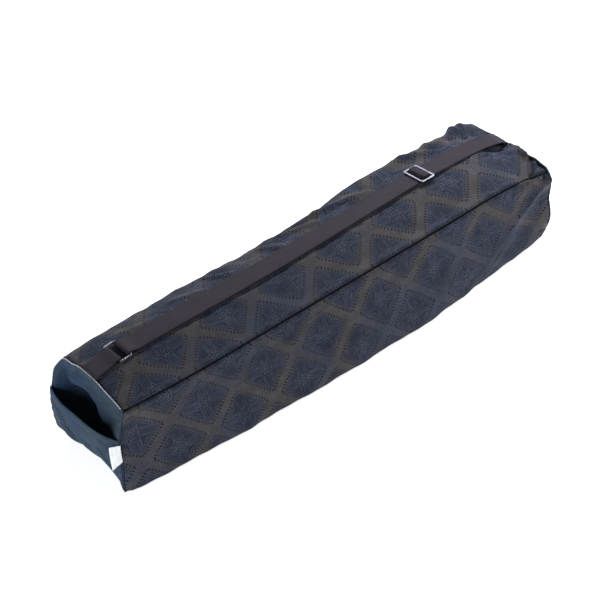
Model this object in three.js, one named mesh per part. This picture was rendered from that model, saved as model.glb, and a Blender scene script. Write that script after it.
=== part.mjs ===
// Yoga mat bag, lying on its flat underside. Millimetres, +Z up.
// X runs along the bag with the pocket end at -X, -Y is the front, below the zip.
// The origin is on the underside, under the middle of the bag.

import * as THREE from 'three';

// The bag
const BAG_LENGTH = 697;
const END_WIDTH = 123;
const END_HEIGHT = 131;
const CLOTH = 1.8;
const SEAM_GAP = 0.45;

// The zip's slot and the tape behind it
const ZIP_SLOT = 2.4;
const TAPE_WIDTH = 26;
const TAPE_THICKNESS = 1.2;
const TAPE_END = 2;

// The end pocket: how high its hem is, and how far the hem gapes from the end
const POCKET_HEIGHT = 78;
const POCKET_GAPE = 11;
const POCKET_FULLNESS = 0.7;
const POCKET_WAVE = 0.12;
const POCKET_GAP = 0.9;

// The blank side label
const LABEL_WIDTH = 14;
const LABEL_HEIGHT = 23;
const LABEL_THICKNESS = 1;
const LABEL_FROM_HEM = 7;
const LABEL_STANCE = { out: 0.6, back: 0.35, curl: 0.5, sag: 0.45 };

// The webbing, and the metal on it
const STRAP_WIDTH = 27;
const WEBBING = 1.4;
const TAB_LENGTH = 36;
const RING_LENGTH = 19;
const RING_WIRE = 2.8;
const SLIDER_FROM_RING = 488;
const SLIDER_LENGTH = 24;
const SLIDER_BAR = 3.2;
const SLIDER_THICKNESS = 1.8;
const WINDOW_CORNER = 0.6;
const METAL_GAP = 0.35;
const SIDE_CLEARANCE = 0.9;

// How finely the cloth is divided
const ALONG_STEPS = 34;
const AROUND_STEPS = 42;
const OUTLINE_STEPS = 240;
const ROW_CROWDING = 0.55;
const DISH_RINGS = 6;
const POCKET_ROWS = 8;
const POCKET_COLUMNS = 14;
const STRAP_STEP = 22;
const SEARCH_STEP = 0.002;
const CROWN_STEP = 0.01;

// The outline of the bag's end, from the zip down the front, under the bag, up the back and over the crown.
// across and up are shares of END_WIDTH and END_HEIGHT. front, back, crown, lean and tuck say how much of
// each swelling of a station reaches the point, and near and far how far the end seams bow along X there,
// as shares of END_WIDTH. A column left out is 0.
const OUTLINE = [
  { name: 'zip', across: -0.415, up: 0.93, front: 0.35, crown: 0.95, lean: 1, near: -0.01, far: -0.045 },
  { name: 'front high', across: -0.4, up: 0.75, front: 0.75, crown: 0.3, lean: 0.8, near: -0.05, far: -0.02 },
  { name: 'front middle', across: -0.39, up: 0.52, front: 1, lean: 0.4, near: -0.065, far: 0.01 },
  { name: 'front low', across: -0.437, up: 0.25, front: 1.05, tuck: 0.35, near: -0.045, far: 0.02 },
  { name: 'front foot', across: -0.49, up: 0.045, front: 0.85, tuck: 1, near: -0.02, far: 0.02 },
  { name: 'front sole', across: -0.425, up: 0, front: 0.7, tuck: 1.1, near: 0.02 },
  { name: 'sole front', across: -0.24, up: 0, front: 0.35, tuck: 0.8, near: 0.13, far: -0.01 },
  { name: 'sole', across: 0.05, up: 0, near: 0.125, far: -0.02 },
  { name: 'back sole', across: 0.427, up: 0, back: 0.5, near: 0.07 },
  { name: 'back foot', across: 0.528, up: 0.085, back: 0.8, far: 0.02 },
  { name: 'back low', across: 0.57, up: 0.27, back: 1, near: -0.045, far: 0.02 },
  { name: 'back middle', across: 0.58, up: 0.52, back: 1.1, near: -0.065 },
  { name: 'back high', across: 0.568, up: 0.765, back: 1.05, crown: 0.3, near: -0.03, far: -0.05 },
  { name: 'back shoulder', across: 0.498, up: 0.92, back: 0.9, crown: 1.25, lean: 0.5, far: -0.11 },
  { name: 'crown back', across: 0.345, up: 0.98, back: 0.4, crown: 0.75, lean: 0.8, far: -0.12 },
  { name: 'crown', across: 0.085, up: 1.003, crown: 1, lean: 1, far: -0.09 },
  { name: 'crown front', across: -0.175, up: 0.985, crown: 1, lean: 1, far: -0.05 },
  { name: 'front shoulder', across: -0.33, up: 0.962, crown: 0.85, lean: 1, far: -0.03 },
];

// The share of the length over which the bow of an end seam fades out, and the far seam's bow under the strap
const BOW_REACH = 0.125;
const CROWN_BOW = -0.115;

// How the filled bag swells along its length. along is a share of BAG_LENGTH, crown and lift are shares of
// END_HEIGHT and the others of END_WIDTH: the front and back bulge out, the crown rises and leans to the
// back, and at the far end the front foot tucks in and lifts.
const STATIONS = [
  { along: 0, front: 0.02, back: 0, crown: 0, lean: 0, tuck: 0, lift: 0 },
  { along: 0.072, front: 0.1, back: 0.025, crown: 0.018, lean: 0, tuck: 0, lift: 0 },
  { along: 0.172, front: 0.145, back: 0.045, crown: 0.028, lean: 0.004, tuck: 0, lift: 0 },
  { along: 0.36, front: 0.18, back: 0.065, crown: 0.045, lean: 0.025, tuck: 0, lift: 0 },
  { along: 0.574, front: 0.17, back: 0.095, crown: 0.06, lean: 0.035, tuck: 0, lift: 0 },
  { along: 0.746, front: 0.15, back: 0.125, crown: 0.075, lean: 0.04, tuck: 0.02, lift: 0 },
  { along: 0.846, front: 0.12, back: 0.12, crown: 0.08, lean: 0.045, tuck: 0.055, lift: 0 },
  { along: 0.93, front: 0.1, back: 0.1, crown: 0.065, lean: 0.035, tuck: 0.105, lift: 0.02 },
  { along: 1, front: 0.085, back: 0.04, crown: 0.03, lean: 0.01, tuck: 0.14, lift: 0.05 },
];

// Folds and dents of the long panel: a line from one point to another on the cloth, along and around it, how
// deep it is (less than 0 stands proud) and how wide, both shares of END_WIDTH.
const FOLDS = [
  { name: 'far crease', along: [0.995, 0.83], around: [0.03, 0.215], depth: -0.022, width: 0.06 },
  { name: 'slack below crease', along: [0.985, 0.93], around: [0.11, 0.18], depth: 0.05, width: 0.17 },
  { name: 'pleat past the zip', along: [0.935, 0.99], around: [0.995, 0.925], depth: 0.055, width: 0.07 },
  { name: 'far corner pillow', along: [0.965, 0.995], around: [1, 0.985], depth: -0.015, width: 0.06 },
  { name: 'first tuck by the strap', along: [0.865, 0.88], around: [0.79, 0.74], depth: 0.022, width: 0.05 },
  { name: 'second tuck by the strap', along: [0.9, 0.92], around: [0.79, 0.74], depth: 0.03, width: 0.05 },
  { name: 'third tuck by the strap', along: [0.95, 0.96], around: [0.79, 0.74], depth: 0.03, width: 0.06 },
  { name: 'sag under the strap', along: [0.945, 0.985], around: [0.86, 0.86], depth: 0.045, width: 0.12 },
  { name: 'near back slope', along: [0.15, 0.38], around: [0.77, 0.785], depth: 0.012, width: 0.06 },
  { name: 'middle back slope', along: [0.35, 0.62], around: [0.755, 0.79], depth: 0.014, width: 0.06 },
  { name: 'far back slope', along: [0.6, 0.8], around: [0.755, 0.79], depth: 0.016, width: 0.06 },
  { name: 'near crown dip', along: [0, 0.05], around: [0.81, 0.82], depth: 0.016, width: 0.07 },
  { name: 'bump behind the strap', along: [0.87, 0.955], around: [0.735, 0.73], depth: -0.065, width: 0.13 },
  { name: 'near shoulder', along: [0.012, 0.06], around: [0.725, 0.725], depth: -0.03, width: 0.08 },
  { name: 'near zip dip', along: [0.02, 0.12], around: [0.935, 0.93], depth: 0.015, width: 0.1 },
  { name: 'under the zip', along: [0.08, 0.6], around: [0.045, 0.045], depth: 0.01, width: 0.05 },
  { name: 'front wave', along: [0.27, 0.36], around: [0.1, 0.19], depth: 0.012, width: 0.12 },
  { name: 'second front wave', along: [0.62, 0.68], around: [0.08, 0.17], depth: 0.01, width: 0.12 },
];

// Hollows of the end panel behind the pocket, shares of END_WIDTH, with up a share of END_HEIGHT.
const NEAR_HOLLOWS = [
  { name: 'hollow', across: [0.337, 0.337], up: [0.44, 0.44], depth: 0.17, width: 0.27 },
  { name: 'roll over the hollow', across: [0.24, 0.4], up: [0.8, 0.78], depth: -0.05, width: 0.12 },
  { name: 'middle', across: [0.037, 0.037], up: [0.46, 0.46], depth: 0.06, width: 0.38 },
  { name: 'standing fold', across: [0.118, -0.037], up: [0.82, 0.5], depth: -0.035, width: 0.07 },
];
const FAR_HOLLOWS = [
  { name: 'belly', across: [0.06, 0.06], up: [0.5, 0.5], depth: -0.055, width: 0.45 },
  { name: 'slack corner', across: [-0.25, -0.1], up: [0.2, 0.35], depth: 0.035, width: 0.14 },
];

// The middle of the strap, a share of END_WIDTH across at each share of BAG_LENGTH
const STRAP_LINE = [
  { along: 0, across: 0.1 },
  { along: 0.06, across: 0.14 },
  { along: 0.12, across: 0.152 },
  { along: 0.36, across: 0.155 },
  { along: 0.5, across: 0.175 },
  { along: 0.66, across: 0.215 },
  { along: 0.815, across: 0.245 },
  { along: 0.92, across: 0.245 },
  { along: 1, across: 0.215 },
];

// Where things lie around the outline, as shares of the way round
const FRONT_CORNER = 0.245;
const BACK_CORNER = 0.475;
const CROWN_FROM = 0.66;

// A column of a table at a share of the length, on a smooth curve through its rows
function column(table, key, along) {
  const last = table.length - 1;
  let row = 0;
  while (row < last - 1 && along > table[row + 1].along) row += 1;
  const slope = (i) => {
    const before = table[Math.max(i - 1, 0)];
    const after = table[Math.min(i + 1, last)];
    return (after[key] - before[key]) / (after.along - before.along);
  };
  const from = table[row];
  const to = table[row + 1];
  const span = to.along - from.along;
  const t = THREE.MathUtils.clamp((along - from.along) / span, 0, 1);
  const rise = t * t * (3 - 2 * t);
  return from[key] + (to[key] - from[key]) * rise
    + slope(row) * span * t * (1 - t) * (1 - t)
    - slope(row + 1) * span * t * t * (1 - t);
}

// How far a point of the cloth is pushed in by a table of folds, measured in two directions a and b
function pushedIn(folds, a, b, spanA, spanB, keyA, keyB) {
  let depth = 0;
  for (const fold of folds) {
    const fromA = fold[keyA][0] * spanA;
    const fromB = fold[keyB][0] * spanB;
    const lineA = fold[keyA][1] * spanA - fromA;
    const lineB = fold[keyB][1] * spanB - fromB;
    const long = lineA * lineA + lineB * lineB;
    const share = long > 0 ? ((a - fromA) * lineA + (b - fromB) * lineB) / long : 0;
    const near = THREE.MathUtils.clamp(share, 0, 1);
    const away = Math.hypot(a - fromA - near * lineA, b - fromB - near * lineB);
    depth += fold.depth * END_WIDTH * Math.exp(-((away / (fold.width * END_WIDTH)) ** 2));
  }
  return depth;
}

// How much is left of an end seam's bow at a share of the length away from the seam
function bowAt(away) {
  return Math.max(0, 1 - away / BOW_REACH) ** 2;
}

// The closed outline of the bag at a share of its length, as evenly spaced points that start at the zip
const outlines = new Map();
function outline(along) {
  if (outlines.has(along)) return outlines.get(along);
  const swell = {};
  for (const key of ['front', 'back', 'crown', 'lean', 'tuck', 'lift']) {
    swell[key] = column(STATIONS, key, along);
  }
  const ring = OUTLINE.map((row) => {
    const point = { front: 0, back: 0, crown: 0, lean: 0, tuck: 0, near: 0, far: 0, ...row };
    return new THREE.Vector3(
      (along - 0.5) * BAG_LENGTH + (point.near * bowAt(along) + point.far * bowAt(1 - along)) * END_WIDTH,
      END_WIDTH * (point.across - point.front * swell.front + point.back * swell.back
        + point.lean * swell.lean + point.tuck * swell.tuck),
      END_HEIGHT * (point.up + point.crown * swell.crown + point.tuck * swell.lift),
    );
  });
  const curve = new THREE.CatmullRomCurve3(ring, true, 'centripetal');
  curve.arcLengthDivisions = 2 * OUTLINE_STEPS;
  const points = curve.getSpacedPoints(OUTLINE_STEPS);
  for (const point of points) point.z = Math.max(point.z, 0);
  outlines.set(along, points);
  return points;
}

function girth(along) {
  const points = outline(along);
  return points.reduce((sum, point, i) => sum + (i ? point.distanceTo(points[i - 1]) : 0), 0);
}
const MIDDLE_GIRTH = girth(0.5);

// A point of the long panel's cloth: inset is measured inward from the outer face
function cloth(along, around, inset) {
  const points = outline(along);
  const at = THREE.MathUtils.euclideanModulo(around, 1) * OUTLINE_STEPS;
  const i = Math.floor(at) % OUTLINE_STEPS;
  const point = points[i].clone().lerp(points[i + 1], at - Math.floor(at));
  const ahead = points[(i + 3) % OUTLINE_STEPS];
  const behind = points[(i - 2 + OUTLINE_STEPS) % OUTLINE_STEPS];
  const inward = new THREE.Vector3(0, behind.z - ahead.z, ahead.y - behind.y).normalize();
  const wrapped = around < 0.5 ? around : around - 1;
  const a = along * BAG_LENGTH;
  const dent = [wrapped, wrapped + 1].reduce((sum, turn) => sum + pushedIn(
    FOLDS, a, turn * MIDDLE_GIRTH, BAG_LENGTH, MIDDLE_GIRTH, 'along', 'around',
  ), 0);
  point.addScaledVector(inward, dent + inset);
  point.z = Math.max(point.z, inset);
  return point;
}

// The share of the length for one of the panel's rows, closer together at the ends
function rowShare(i) {
  const t = i / ALONG_STEPS;
  return t - ROW_CROWDING * Math.sin(2 * Math.PI * t) / (2 * Math.PI);
}

// A closed body from two grids of points, the outer and the inner face of a sheet
function sheetBody(outer, inner) {
  const rows = outer.length;
  const columns = outer[0].length;
  const points = [...outer.flat(), ...inner.flat()];
  const at = (face, i, j) => face * rows * columns + i * columns + j;
  const triangles = [];
  const quad = (a, b, c, d) => triangles.push(a, b, c, a, c, d);
  for (let i = 0; i < rows - 1; i += 1) {
    for (let j = 0; j < columns - 1; j += 1) {
      quad(at(0, i, j), at(0, i, j + 1), at(0, i + 1, j + 1), at(0, i + 1, j));
      quad(at(1, i, j), at(1, i + 1, j), at(1, i + 1, j + 1), at(1, i, j + 1));
    }
    quad(at(0, i, 0), at(0, i + 1, 0), at(1, i + 1, 0), at(1, i, 0));
    quad(at(0, i, columns - 1), at(1, i, columns - 1), at(1, i + 1, columns - 1), at(0, i + 1, columns - 1));
  }
  for (let j = 0; j < columns - 1; j += 1) {
    quad(at(0, 0, j), at(1, 0, j), at(1, 0, j + 1), at(0, 0, j + 1));
    quad(at(0, rows - 1, j), at(0, rows - 1, j + 1), at(1, rows - 1, j + 1), at(1, rows - 1, j));
  }
  return facingOut(points, triangles);
}

// A geometry whose faces point out, whichever way round its triangles were listed
function facingOut(points, triangles) {
  let volume = 0;
  for (let i = 0; i < triangles.length; i += 3) {
    const [a, b, c] = [points[triangles[i]], points[triangles[i + 1]], points[triangles[i + 2]]];
    volume += a.dot(new THREE.Vector3().crossVectors(b, c));
  }
  const facing = volume < 0 ? triangles.slice().reverse() : triangles;
  const geometry = new THREE.BufferGeometry().setFromPoints(points);
  geometry.setIndex(facing);
  geometry.computeVertexNormals();
  return geometry;
}

function grid(rows, columns, pointAt) {
  return Array.from({ length: rows + 1 }, (_, i) => (
    Array.from({ length: columns + 1 }, (__, j) => pointAt(i / rows, j / columns, i, j))
  ));
}

// Where the zip's lip and the tape's columns lie around the bag, from the middle of the slot
const LIP = ZIP_SLOT / 2 / MIDDLE_GIRTH;
const TAPE_COLUMNS = [LIP, TAPE_WIDTH / 4 / MIDDLE_GIRTH, TAPE_WIDTH / 2 / MIDDLE_GIRTH];

// The long panel's columns: the tape's at both lips of the zip, and evenly spaced ones between them
const PANEL_COLUMNS = (() => {
  const edge = TAPE_COLUMNS.length - 1;
  const inner = AROUND_STEPS - 2 * edge;
  const between = Array.from({ length: inner + 1 }, (_, j) => (
    THREE.MathUtils.lerp(TAPE_COLUMNS[edge], 1 - TAPE_COLUMNS[edge], j / inner)
  ));
  const lips = TAPE_COLUMNS.slice(0, edge);
  return [...lips, ...between, ...lips.map((around) => 1 - around).reverse()];
})();

// The long panel, wrapped round the bag from one lip of the zip to the other
function mainPanel() {
  const face = (inset) => grid(ALONG_STEPS, AROUND_STEPS, (_, __, i, j) => (
    cloth(rowShare(i), PANEL_COLUMNS[j], inset)
  ));
  return sheetBody(face(0), face(CLOTH));
}

// The tape behind the zip's slot, which stops short of both end panels
function zipTape() {
  const columns = [...TAPE_COLUMNS.map((around) => -around).reverse(), ...TAPE_COLUMNS];
  const face = (inset) => grid(ALONG_STEPS, columns.length - 1, (_, __, i, j) => {
    const point = cloth(rowShare(i), columns[j], inset);
    if (i === 0) point.x += TAPE_END;
    if (i === ALONG_STEPS) point.x -= TAPE_END;
    return point;
  });
  return sheetBody(face(CLOTH + SEAM_GAP), face(CLOTH + SEAM_GAP + TAPE_THICKNESS));
}

// An end panel closes the bag just past the long panel's edge. outward is -1 at the near end, 1 at the far.
// Its seam allowance lies flat against that edge, and inside it the cloth is dished by a table of hollows.
const SEAM_ALLOWANCE = 5;
const FLAT_FROM = 1 - 2 * SEAM_ALLOWANCE / END_WIDTH;
function endPanel(along, outward, hollows) {
  const rim = PANEL_COLUMNS.map((around) => cloth(along, around, 0));
  const middle = rim.reduce((sum, point) => sum.add(point), new THREE.Vector3()).divideScalar(rim.length);
  const dished = (edge, share, offset) => {
    const point = middle.clone().lerp(edge, share);
    const inside = Math.min(share / FLAT_FROM, 1);
    const push = pushedIn(hollows, point.y, point.z, END_WIDTH, END_HEIGHT, 'across', 'up');
    const dish = offset - push * (1 - inside ** 5);
    point.x = THREE.MathUtils.lerp(middle.x, edge.x, inside ** 2) + outward * dish;
    return point;
  };
  const face = (offset) => {
    const points = [];
    for (let ring = 1; ring <= DISH_RINGS; ring += 1) {
      const share = ring === DISH_RINGS ? 1 : FLAT_FROM * ring / (DISH_RINGS - 1);
      for (const edge of rim) points.push(dished(edge, share, offset));
    }
    points.push(dished(rim[0], 0, offset));
    return points;
  };
  const inner = face(SEAM_GAP);
  const outer = face(SEAM_GAP + CLOTH);
  const points = [...outer, ...inner];
  const count = outer.length;
  const at = (side, ring, j) => side * count + (ring - 1) * rim.length + (j % rim.length);
  const triangles = [];
  const quad = (a, b, c, d) => triangles.push(a, b, c, a, c, d);
  for (let j = 0; j < rim.length; j += 1) {
    triangles.push(count - 1, at(0, 1, j), at(0, 1, j + 1));
    triangles.push(2 * count - 1, at(1, 1, j + 1), at(1, 1, j));
    for (let ring = 1; ring < DISH_RINGS; ring += 1) {
      quad(at(0, ring, j), at(0, ring + 1, j), at(0, ring + 1, j + 1), at(0, ring, j + 1));
      quad(at(1, ring, j), at(1, ring, j + 1), at(1, ring + 1, j + 1), at(1, ring + 1, j));
    }
    quad(at(0, DISH_RINGS, j), at(1, DISH_RINGS, j), at(1, DISH_RINGS, j + 1), at(0, DISH_RINGS, j + 1));
  }
  return facingOut(points, triangles);
}

// Where the near seam reaches a height, on the front (side 1) or the back (side -1)
function seamAround(height, corner, side) {
  let around = corner;
  while (cloth(0, around, 0).z < height) around -= side * SEARCH_STEP;
  return around;
}

// A point of the pocket: s from the front seam to the back seam, t from the underside to the hem
function pocketPoint(s, t, offset) {
  const frontHem = seamAround(POCKET_HEIGHT, FRONT_CORNER, 1);
  const backHem = seamAround(POCKET_HEIGHT, BACK_CORNER, -1);
  const front = (share) => cloth(0, THREE.MathUtils.lerp(FRONT_CORNER, frontHem, share), 0);
  const back = (share) => cloth(0, THREE.MathUtils.lerp(BACK_CORNER, backHem, share), 0);
  const sole = cloth(0, THREE.MathUtils.lerp(FRONT_CORNER, BACK_CORNER, s), 0);
  const straight = front(0).lerp(back(0), s);
  const point = front(t).lerp(back(t), s).addScaledVector(sole.sub(straight), 1 - t);
  const wave = 1 + POCKET_WAVE * Math.sin(3 * Math.PI * s) * t;
  const gape = POCKET_GAPE * Math.sin(Math.PI * s) ** POCKET_FULLNESS * t ** POCKET_FULLNESS * wave;
  point.x -= SEAM_GAP + CLOTH + POCKET_GAP + gape + offset;
  return point;
}

function pocketPanel() {
  const face = (offset) => grid(POCKET_ROWS, POCKET_COLUMNS, (t, s) => pocketPoint(s, t, offset));
  return sheetBody(face(CLOTH), face(0));
}

// The label stands out of the front seam, under the pocket's hem, along the pocket
function sideLabel() {
  const face = (offset) => grid(3, 3, (t, s) => {
    const height = POCKET_HEIGHT - LABEL_FROM_HEM - t * LABEL_HEIGHT;
    const seam = pocketPoint(0, height / POCKET_HEIGHT, 0);
    const out = s * LABEL_WIDTH;
    seam.x -= CLOTH + SEAM_GAP + LABEL_STANCE.out * out;
    seam.y += (LABEL_STANCE.back - LABEL_STANCE.curl * t) * out - offset;
    seam.z -= LABEL_STANCE.sag * out * (1 + t) / 2;
    return seam;
  });
  return sheetBody(face(LABEL_THICKNESS), face(0));
}

// Where the crown under the strap is along X, and the share of the length at which it reaches x
function crownX(along) {
  return (along - 0.5) * BAG_LENGTH + CROWN_BOW * END_WIDTH * bowAt(1 - along);
}
function shareAt(x) {
  let along = x / BAG_LENGTH + 0.5;
  for (let pass = 0; pass < 8; pass += 1) {
    along = THREE.MathUtils.clamp(along + (x - crownX(along)) / BAG_LENGTH, 0, 1);
  }
  return along;
}

// The height of the crown over a point of the floor plan
function crownHeight(x, y) {
  const along = shareAt(x);
  let behind = cloth(along, CROWN_FROM, 0);
  for (let around = CROWN_FROM; around < 1; around += CROWN_STEP) {
    const ahead = cloth(along, around, 0);
    if (ahead.y <= y && behind.y >= y) {
      return THREE.MathUtils.mapLinear(y, behind.y, ahead.y, behind.z, ahead.z);
    }
    behind = ahead;
  }
  return behind.z;
}

// What the strap lies on: the crown, bridged over its dents, at the two edges and the middle of the strap
const REACH = [-48, -36, -24, -12, 0, 12, 24, 36, 48];
const BRIDGE = 0.0016;
const beds = new Map();
function strapBed(x) {
  const key = Math.round(x * 2) / 2;
  if (beds.has(key)) return beds.get(key);
  const middle = column(STRAP_LINE, 'across', shareAt(key)) * END_WIDTH;
  const half = STRAP_WIDTH / 2;
  const inside = (reach) => reach === 0 || (key + reach >= crownX(0) && key + reach <= crownX(1));
  const over = (y) => Math.max(...REACH.filter(inside).map((reach) => (
    crownHeight(key + reach, y) - BRIDGE * reach * reach
  )));
  const front = over(middle - half);
  const back = over(middle + half);
  const rise = Math.max(0, ...[-0.5, 0, 0.5].map((share) => (
    over(middle + share * half) - THREE.MathUtils.lerp(front, back, (share + 1) / 2)
  )));
  const height = (front + back) / 2 + rise + SEAM_GAP;
  const bed = { middle, height, slope: (back - front) / STRAP_WIDTH };
  beds.set(key, bed);
  return bed;
}

// A point of the strap or its metal: x along the bag, w across the strap, h above its bed
function onStrap(x, w, h) {
  const bed = strapBed(x);
  return new THREE.Vector3(x, bed.middle + w, bed.height + bed.slope * w + h);
}

// Webbing: a path of x and height, thickened to both sides and as wide as the strap
function webbing(path) {
  const left = [];
  const right = [];
  path.forEach((point, i) => {
    const before = path[Math.max(i - 1, 0)];
    const after = path[Math.min(i + 1, path.length - 1)];
    const side = new THREE.Vector2(before.y - after.y, after.x - before.x).setLength(WEBBING / 2);
    left.push(point.clone().add(side));
    right.push(point.clone().sub(side));
  });
  const across = (points, w) => points.map((point) => onStrap(point.x, w, point.y));
  const face = (points) => [-1, 0, 1].map((side) => across(points, side * STRAP_WIDTH / 2));
  return sheetBody(face(left), face(right));
}

function arc(x, h, radius, from, to, steps) {
  return Array.from({ length: steps + 1 }, (_, i) => {
    const angle = THREE.MathUtils.degToRad(THREE.MathUtils.lerp(from, to, i / steps));
    return new THREE.Vector2(x + radius * Math.cos(angle), h + radius * Math.sin(angle));
  });
}

// Evenly spaced points of a run of webbing that eases from one height to another
function run(fromX, toX, fromH, toH) {
  const steps = Math.max(4, Math.ceil(Math.abs(toX - fromX) / STRAP_STEP));
  return Array.from({ length: steps + 1 }, (_, i) => {
    const t = i / steps;
    const ease = t * t * (3 - 2 * t);
    return new THREE.Vector2(THREE.MathUtils.lerp(fromX, toX, t), THREE.MathUtils.lerp(fromH, toH, ease));
  });
}

// Heights above the strap's bed of the two layers of webbing and of the ring's wire
const NEAR_EDGE = -BAG_LENGTH / 2;
const SEAM_EDGE = SEAM_GAP + CLOTH;
const LOWER = WEBBING / 2;
const UPPER = LOWER + WEBBING + METAL_GAP;
const WIRE_LOOP = RING_WIRE / 2 + METAL_GAP + WEBBING / 2;
const WIRE_HEIGHT = LOWER + WIRE_LOOP;
const RING_NEAR_BAR = NEAR_EDGE + TAB_LENGTH;
const RING_FAR_BAR = RING_NEAR_BAR + RING_LENGTH - RING_WIRE;
const EASE_LENGTH = 16;

// The anchor tab: doubled webbing from the near seam round the ring's near bar
function strapTab() {
  const start = NEAR_EDGE - SEAM_EDGE;
  return webbing([
    ...run(start, RING_NEAR_BAR - EASE_LENGTH, UPPER, UPPER),
    ...run(RING_NEAR_BAR - EASE_LENGTH, RING_NEAR_BAR, UPPER, WIRE_HEIGHT + WIRE_LOOP).slice(1),
    ...arc(RING_NEAR_BAR, WIRE_HEIGHT, WIRE_LOOP, 90, -90, 8).slice(1),
    ...run(RING_NEAR_BAR, start, LOWER, LOWER).slice(1),
  ]);
}

// The slider's place and heights
const SLIDER_MIDDLE = RING_FAR_BAR + SLIDER_FROM_RING;
const SLIDER_LOW = UPPER + WEBBING / 2 + METAL_GAP;
const BAR_LOOP = SLIDER_THICKNESS / 2 + METAL_GAP + WEBBING / 2;
const BAR_HEIGHT = SLIDER_LOW + SLIDER_THICKNESS / 2;
const HALF_BAR = SLIDER_BAR / 2;

// The shoulder strap: from a loop on the slider's middle bar, under itself to the ring, round the ring's
// far bar and back on top, over the slider's middle bar and on to the far seam
function shoulderStrap() {
  const end = crownX(1) + SEAM_EDGE;
  const over = BAR_HEIGHT + BAR_LOOP + WEBBING + METAL_GAP;
  const clear = HALF_BAR + METAL_GAP + WEBBING + METAL_GAP;
  const foot = SLIDER_LENGTH / 2 - SLIDER_BAR - METAL_GAP - WEBBING;
  const settled = SLIDER_MIDDLE + 3 * EASE_LENGTH;
  return webbing([
    new THREE.Vector2(SLIDER_MIDDLE + HALF_BAR / 2, BAR_HEIGHT - BAR_LOOP),
    ...arc(SLIDER_MIDDLE - HALF_BAR, BAR_HEIGHT, BAR_LOOP, 270, 90, 6),
    ...arc(SLIDER_MIDDLE + HALF_BAR, BAR_HEIGHT, BAR_LOOP, 90, 0, 3),
    ...arc(SLIDER_MIDDLE + HALF_BAR, LOWER + BAR_LOOP, BAR_LOOP, 0, -90, 3),
    ...run(SLIDER_MIDDLE + HALF_BAR, RING_FAR_BAR, LOWER, LOWER).slice(1),
    ...arc(RING_FAR_BAR, WIRE_HEIGHT, WIRE_LOOP, 270, 90, 8).slice(1),
    ...run(RING_FAR_BAR, RING_FAR_BAR + EASE_LENGTH, WIRE_HEIGHT + WIRE_LOOP, UPPER).slice(1),
    ...run(RING_FAR_BAR + EASE_LENGTH, SLIDER_MIDDLE - foot, UPPER, UPPER).slice(1),
    new THREE.Vector2(SLIDER_MIDDLE - clear, over),
    new THREE.Vector2(SLIDER_MIDDLE, over),
    new THREE.Vector2(SLIDER_MIDDLE + clear, over),
    ...run(SLIDER_MIDDLE + foot, settled, UPPER, LOWER),
    ...run(settled, end, LOWER, LOWER).slice(1),
  ]);
}

// The ring: a round wire bent to a rectangle with round corners
function strapRing() {
  const corner = SIDE_CLEARANCE + RING_WIRE / 2;
  const halfX = (RING_LENGTH - RING_WIRE) / 2;
  const halfY = STRAP_WIDTH / 2 + SIDE_CLEARANCE + RING_WIRE / 2;
  const middle = RING_NEAR_BAR + halfX;
  const corners = [[1, 1], [-1, 1], [-1, -1], [1, -1]];
  const path = corners.flatMap(([sx, sy], quarter) => (
    arc(sx * (halfX - corner), sy * (halfY - corner), corner, quarter * 90, quarter * 90 + 90, 3)
  ));
  const sides = 8;
  const points = [];
  const triangles = [];
  path.forEach((point, i) => {
    const before = path[(i - 1 + path.length) % path.length];
    const after = path[(i + 1) % path.length];
    const out = new THREE.Vector2(after.y - before.y, before.x - after.x).normalize();
    for (let j = 0; j < sides; j += 1) {
      const angle = 2 * Math.PI * j / sides;
      const reach = RING_WIRE / 2 * Math.cos(angle);
      const lift = RING_WIRE / 2 * Math.sin(angle);
      points.push(onStrap(middle + point.x + out.x * reach, point.y + out.y * reach, WIRE_HEIGHT + lift));
      const next = (i + 1) % path.length;
      const [a, b] = [i * sides + j, i * sides + (j + 1) % sides];
      const [c, d] = [next * sides + (j + 1) % sides, next * sides + j];
      triangles.push(a, b, c, a, c, d);
    }
  });
  return facingOut(points, triangles);
}

function rectanglePath(target, x, y, halfX, halfY, corner) {
  const corners = [[1, 1], [-1, 1], [-1, -1], [1, -1]];
  corners.forEach(([sx, sy], quarter) => {
    const from = quarter * Math.PI / 2;
    const centre = [x + sx * (halfX - corner), y + sy * (halfY - corner)];
    target.absarc(...centre, corner, from, from + Math.PI / 2, false);
  });
  return target;
}

// The slider: a flat metal frame with a window on each side of its middle bar
function strapSlider() {
  const halfX = SLIDER_LENGTH / 2;
  const halfY = STRAP_WIDTH / 2 + SIDE_CLEARANCE + SLIDER_BAR;
  const frame = rectanglePath(new THREE.Shape(), 0, 0, halfX, halfY, SLIDER_BAR * 0.8);
  const windowHalf = (halfX - SLIDER_BAR - HALF_BAR) / 2;
  for (const side of [-1, 1]) {
    const x = side * (HALF_BAR + windowHalf);
    frame.holes.push(rectanglePath(new THREE.Path(), x, 0, windowHalf, halfY - SLIDER_BAR, WINDOW_CORNER));
  }
  const geometry = new THREE.ExtrudeGeometry(frame, {
    depth: SLIDER_THICKNESS, bevelEnabled: false, curveSegments: 4, steps: 1,
  });
  const corner = geometry.getAttribute('position');
  for (let i = 0; i < corner.count; i += 1) {
    const place = onStrap(SLIDER_MIDDLE, corner.getY(i), SLIDER_LOW + corner.getZ(i));
    corner.setXYZ(i, SLIDER_MIDDLE + corner.getX(i), place.y, place.z);
  }
  return geometry;
}

function piece(name, geometry, color, roughness, metalness = 0) {
  const mesh = new THREE.Mesh(geometry, new THREE.MeshStandardMaterial({ color, roughness, metalness }));
  mesh.name = name;
  return mesh;
}

const PRINTED_CLOTH = 0x3d3c40;
const WEBBING_COLOR = 0x3a353c;
const SILVER = 0xc9c6cf;

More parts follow.
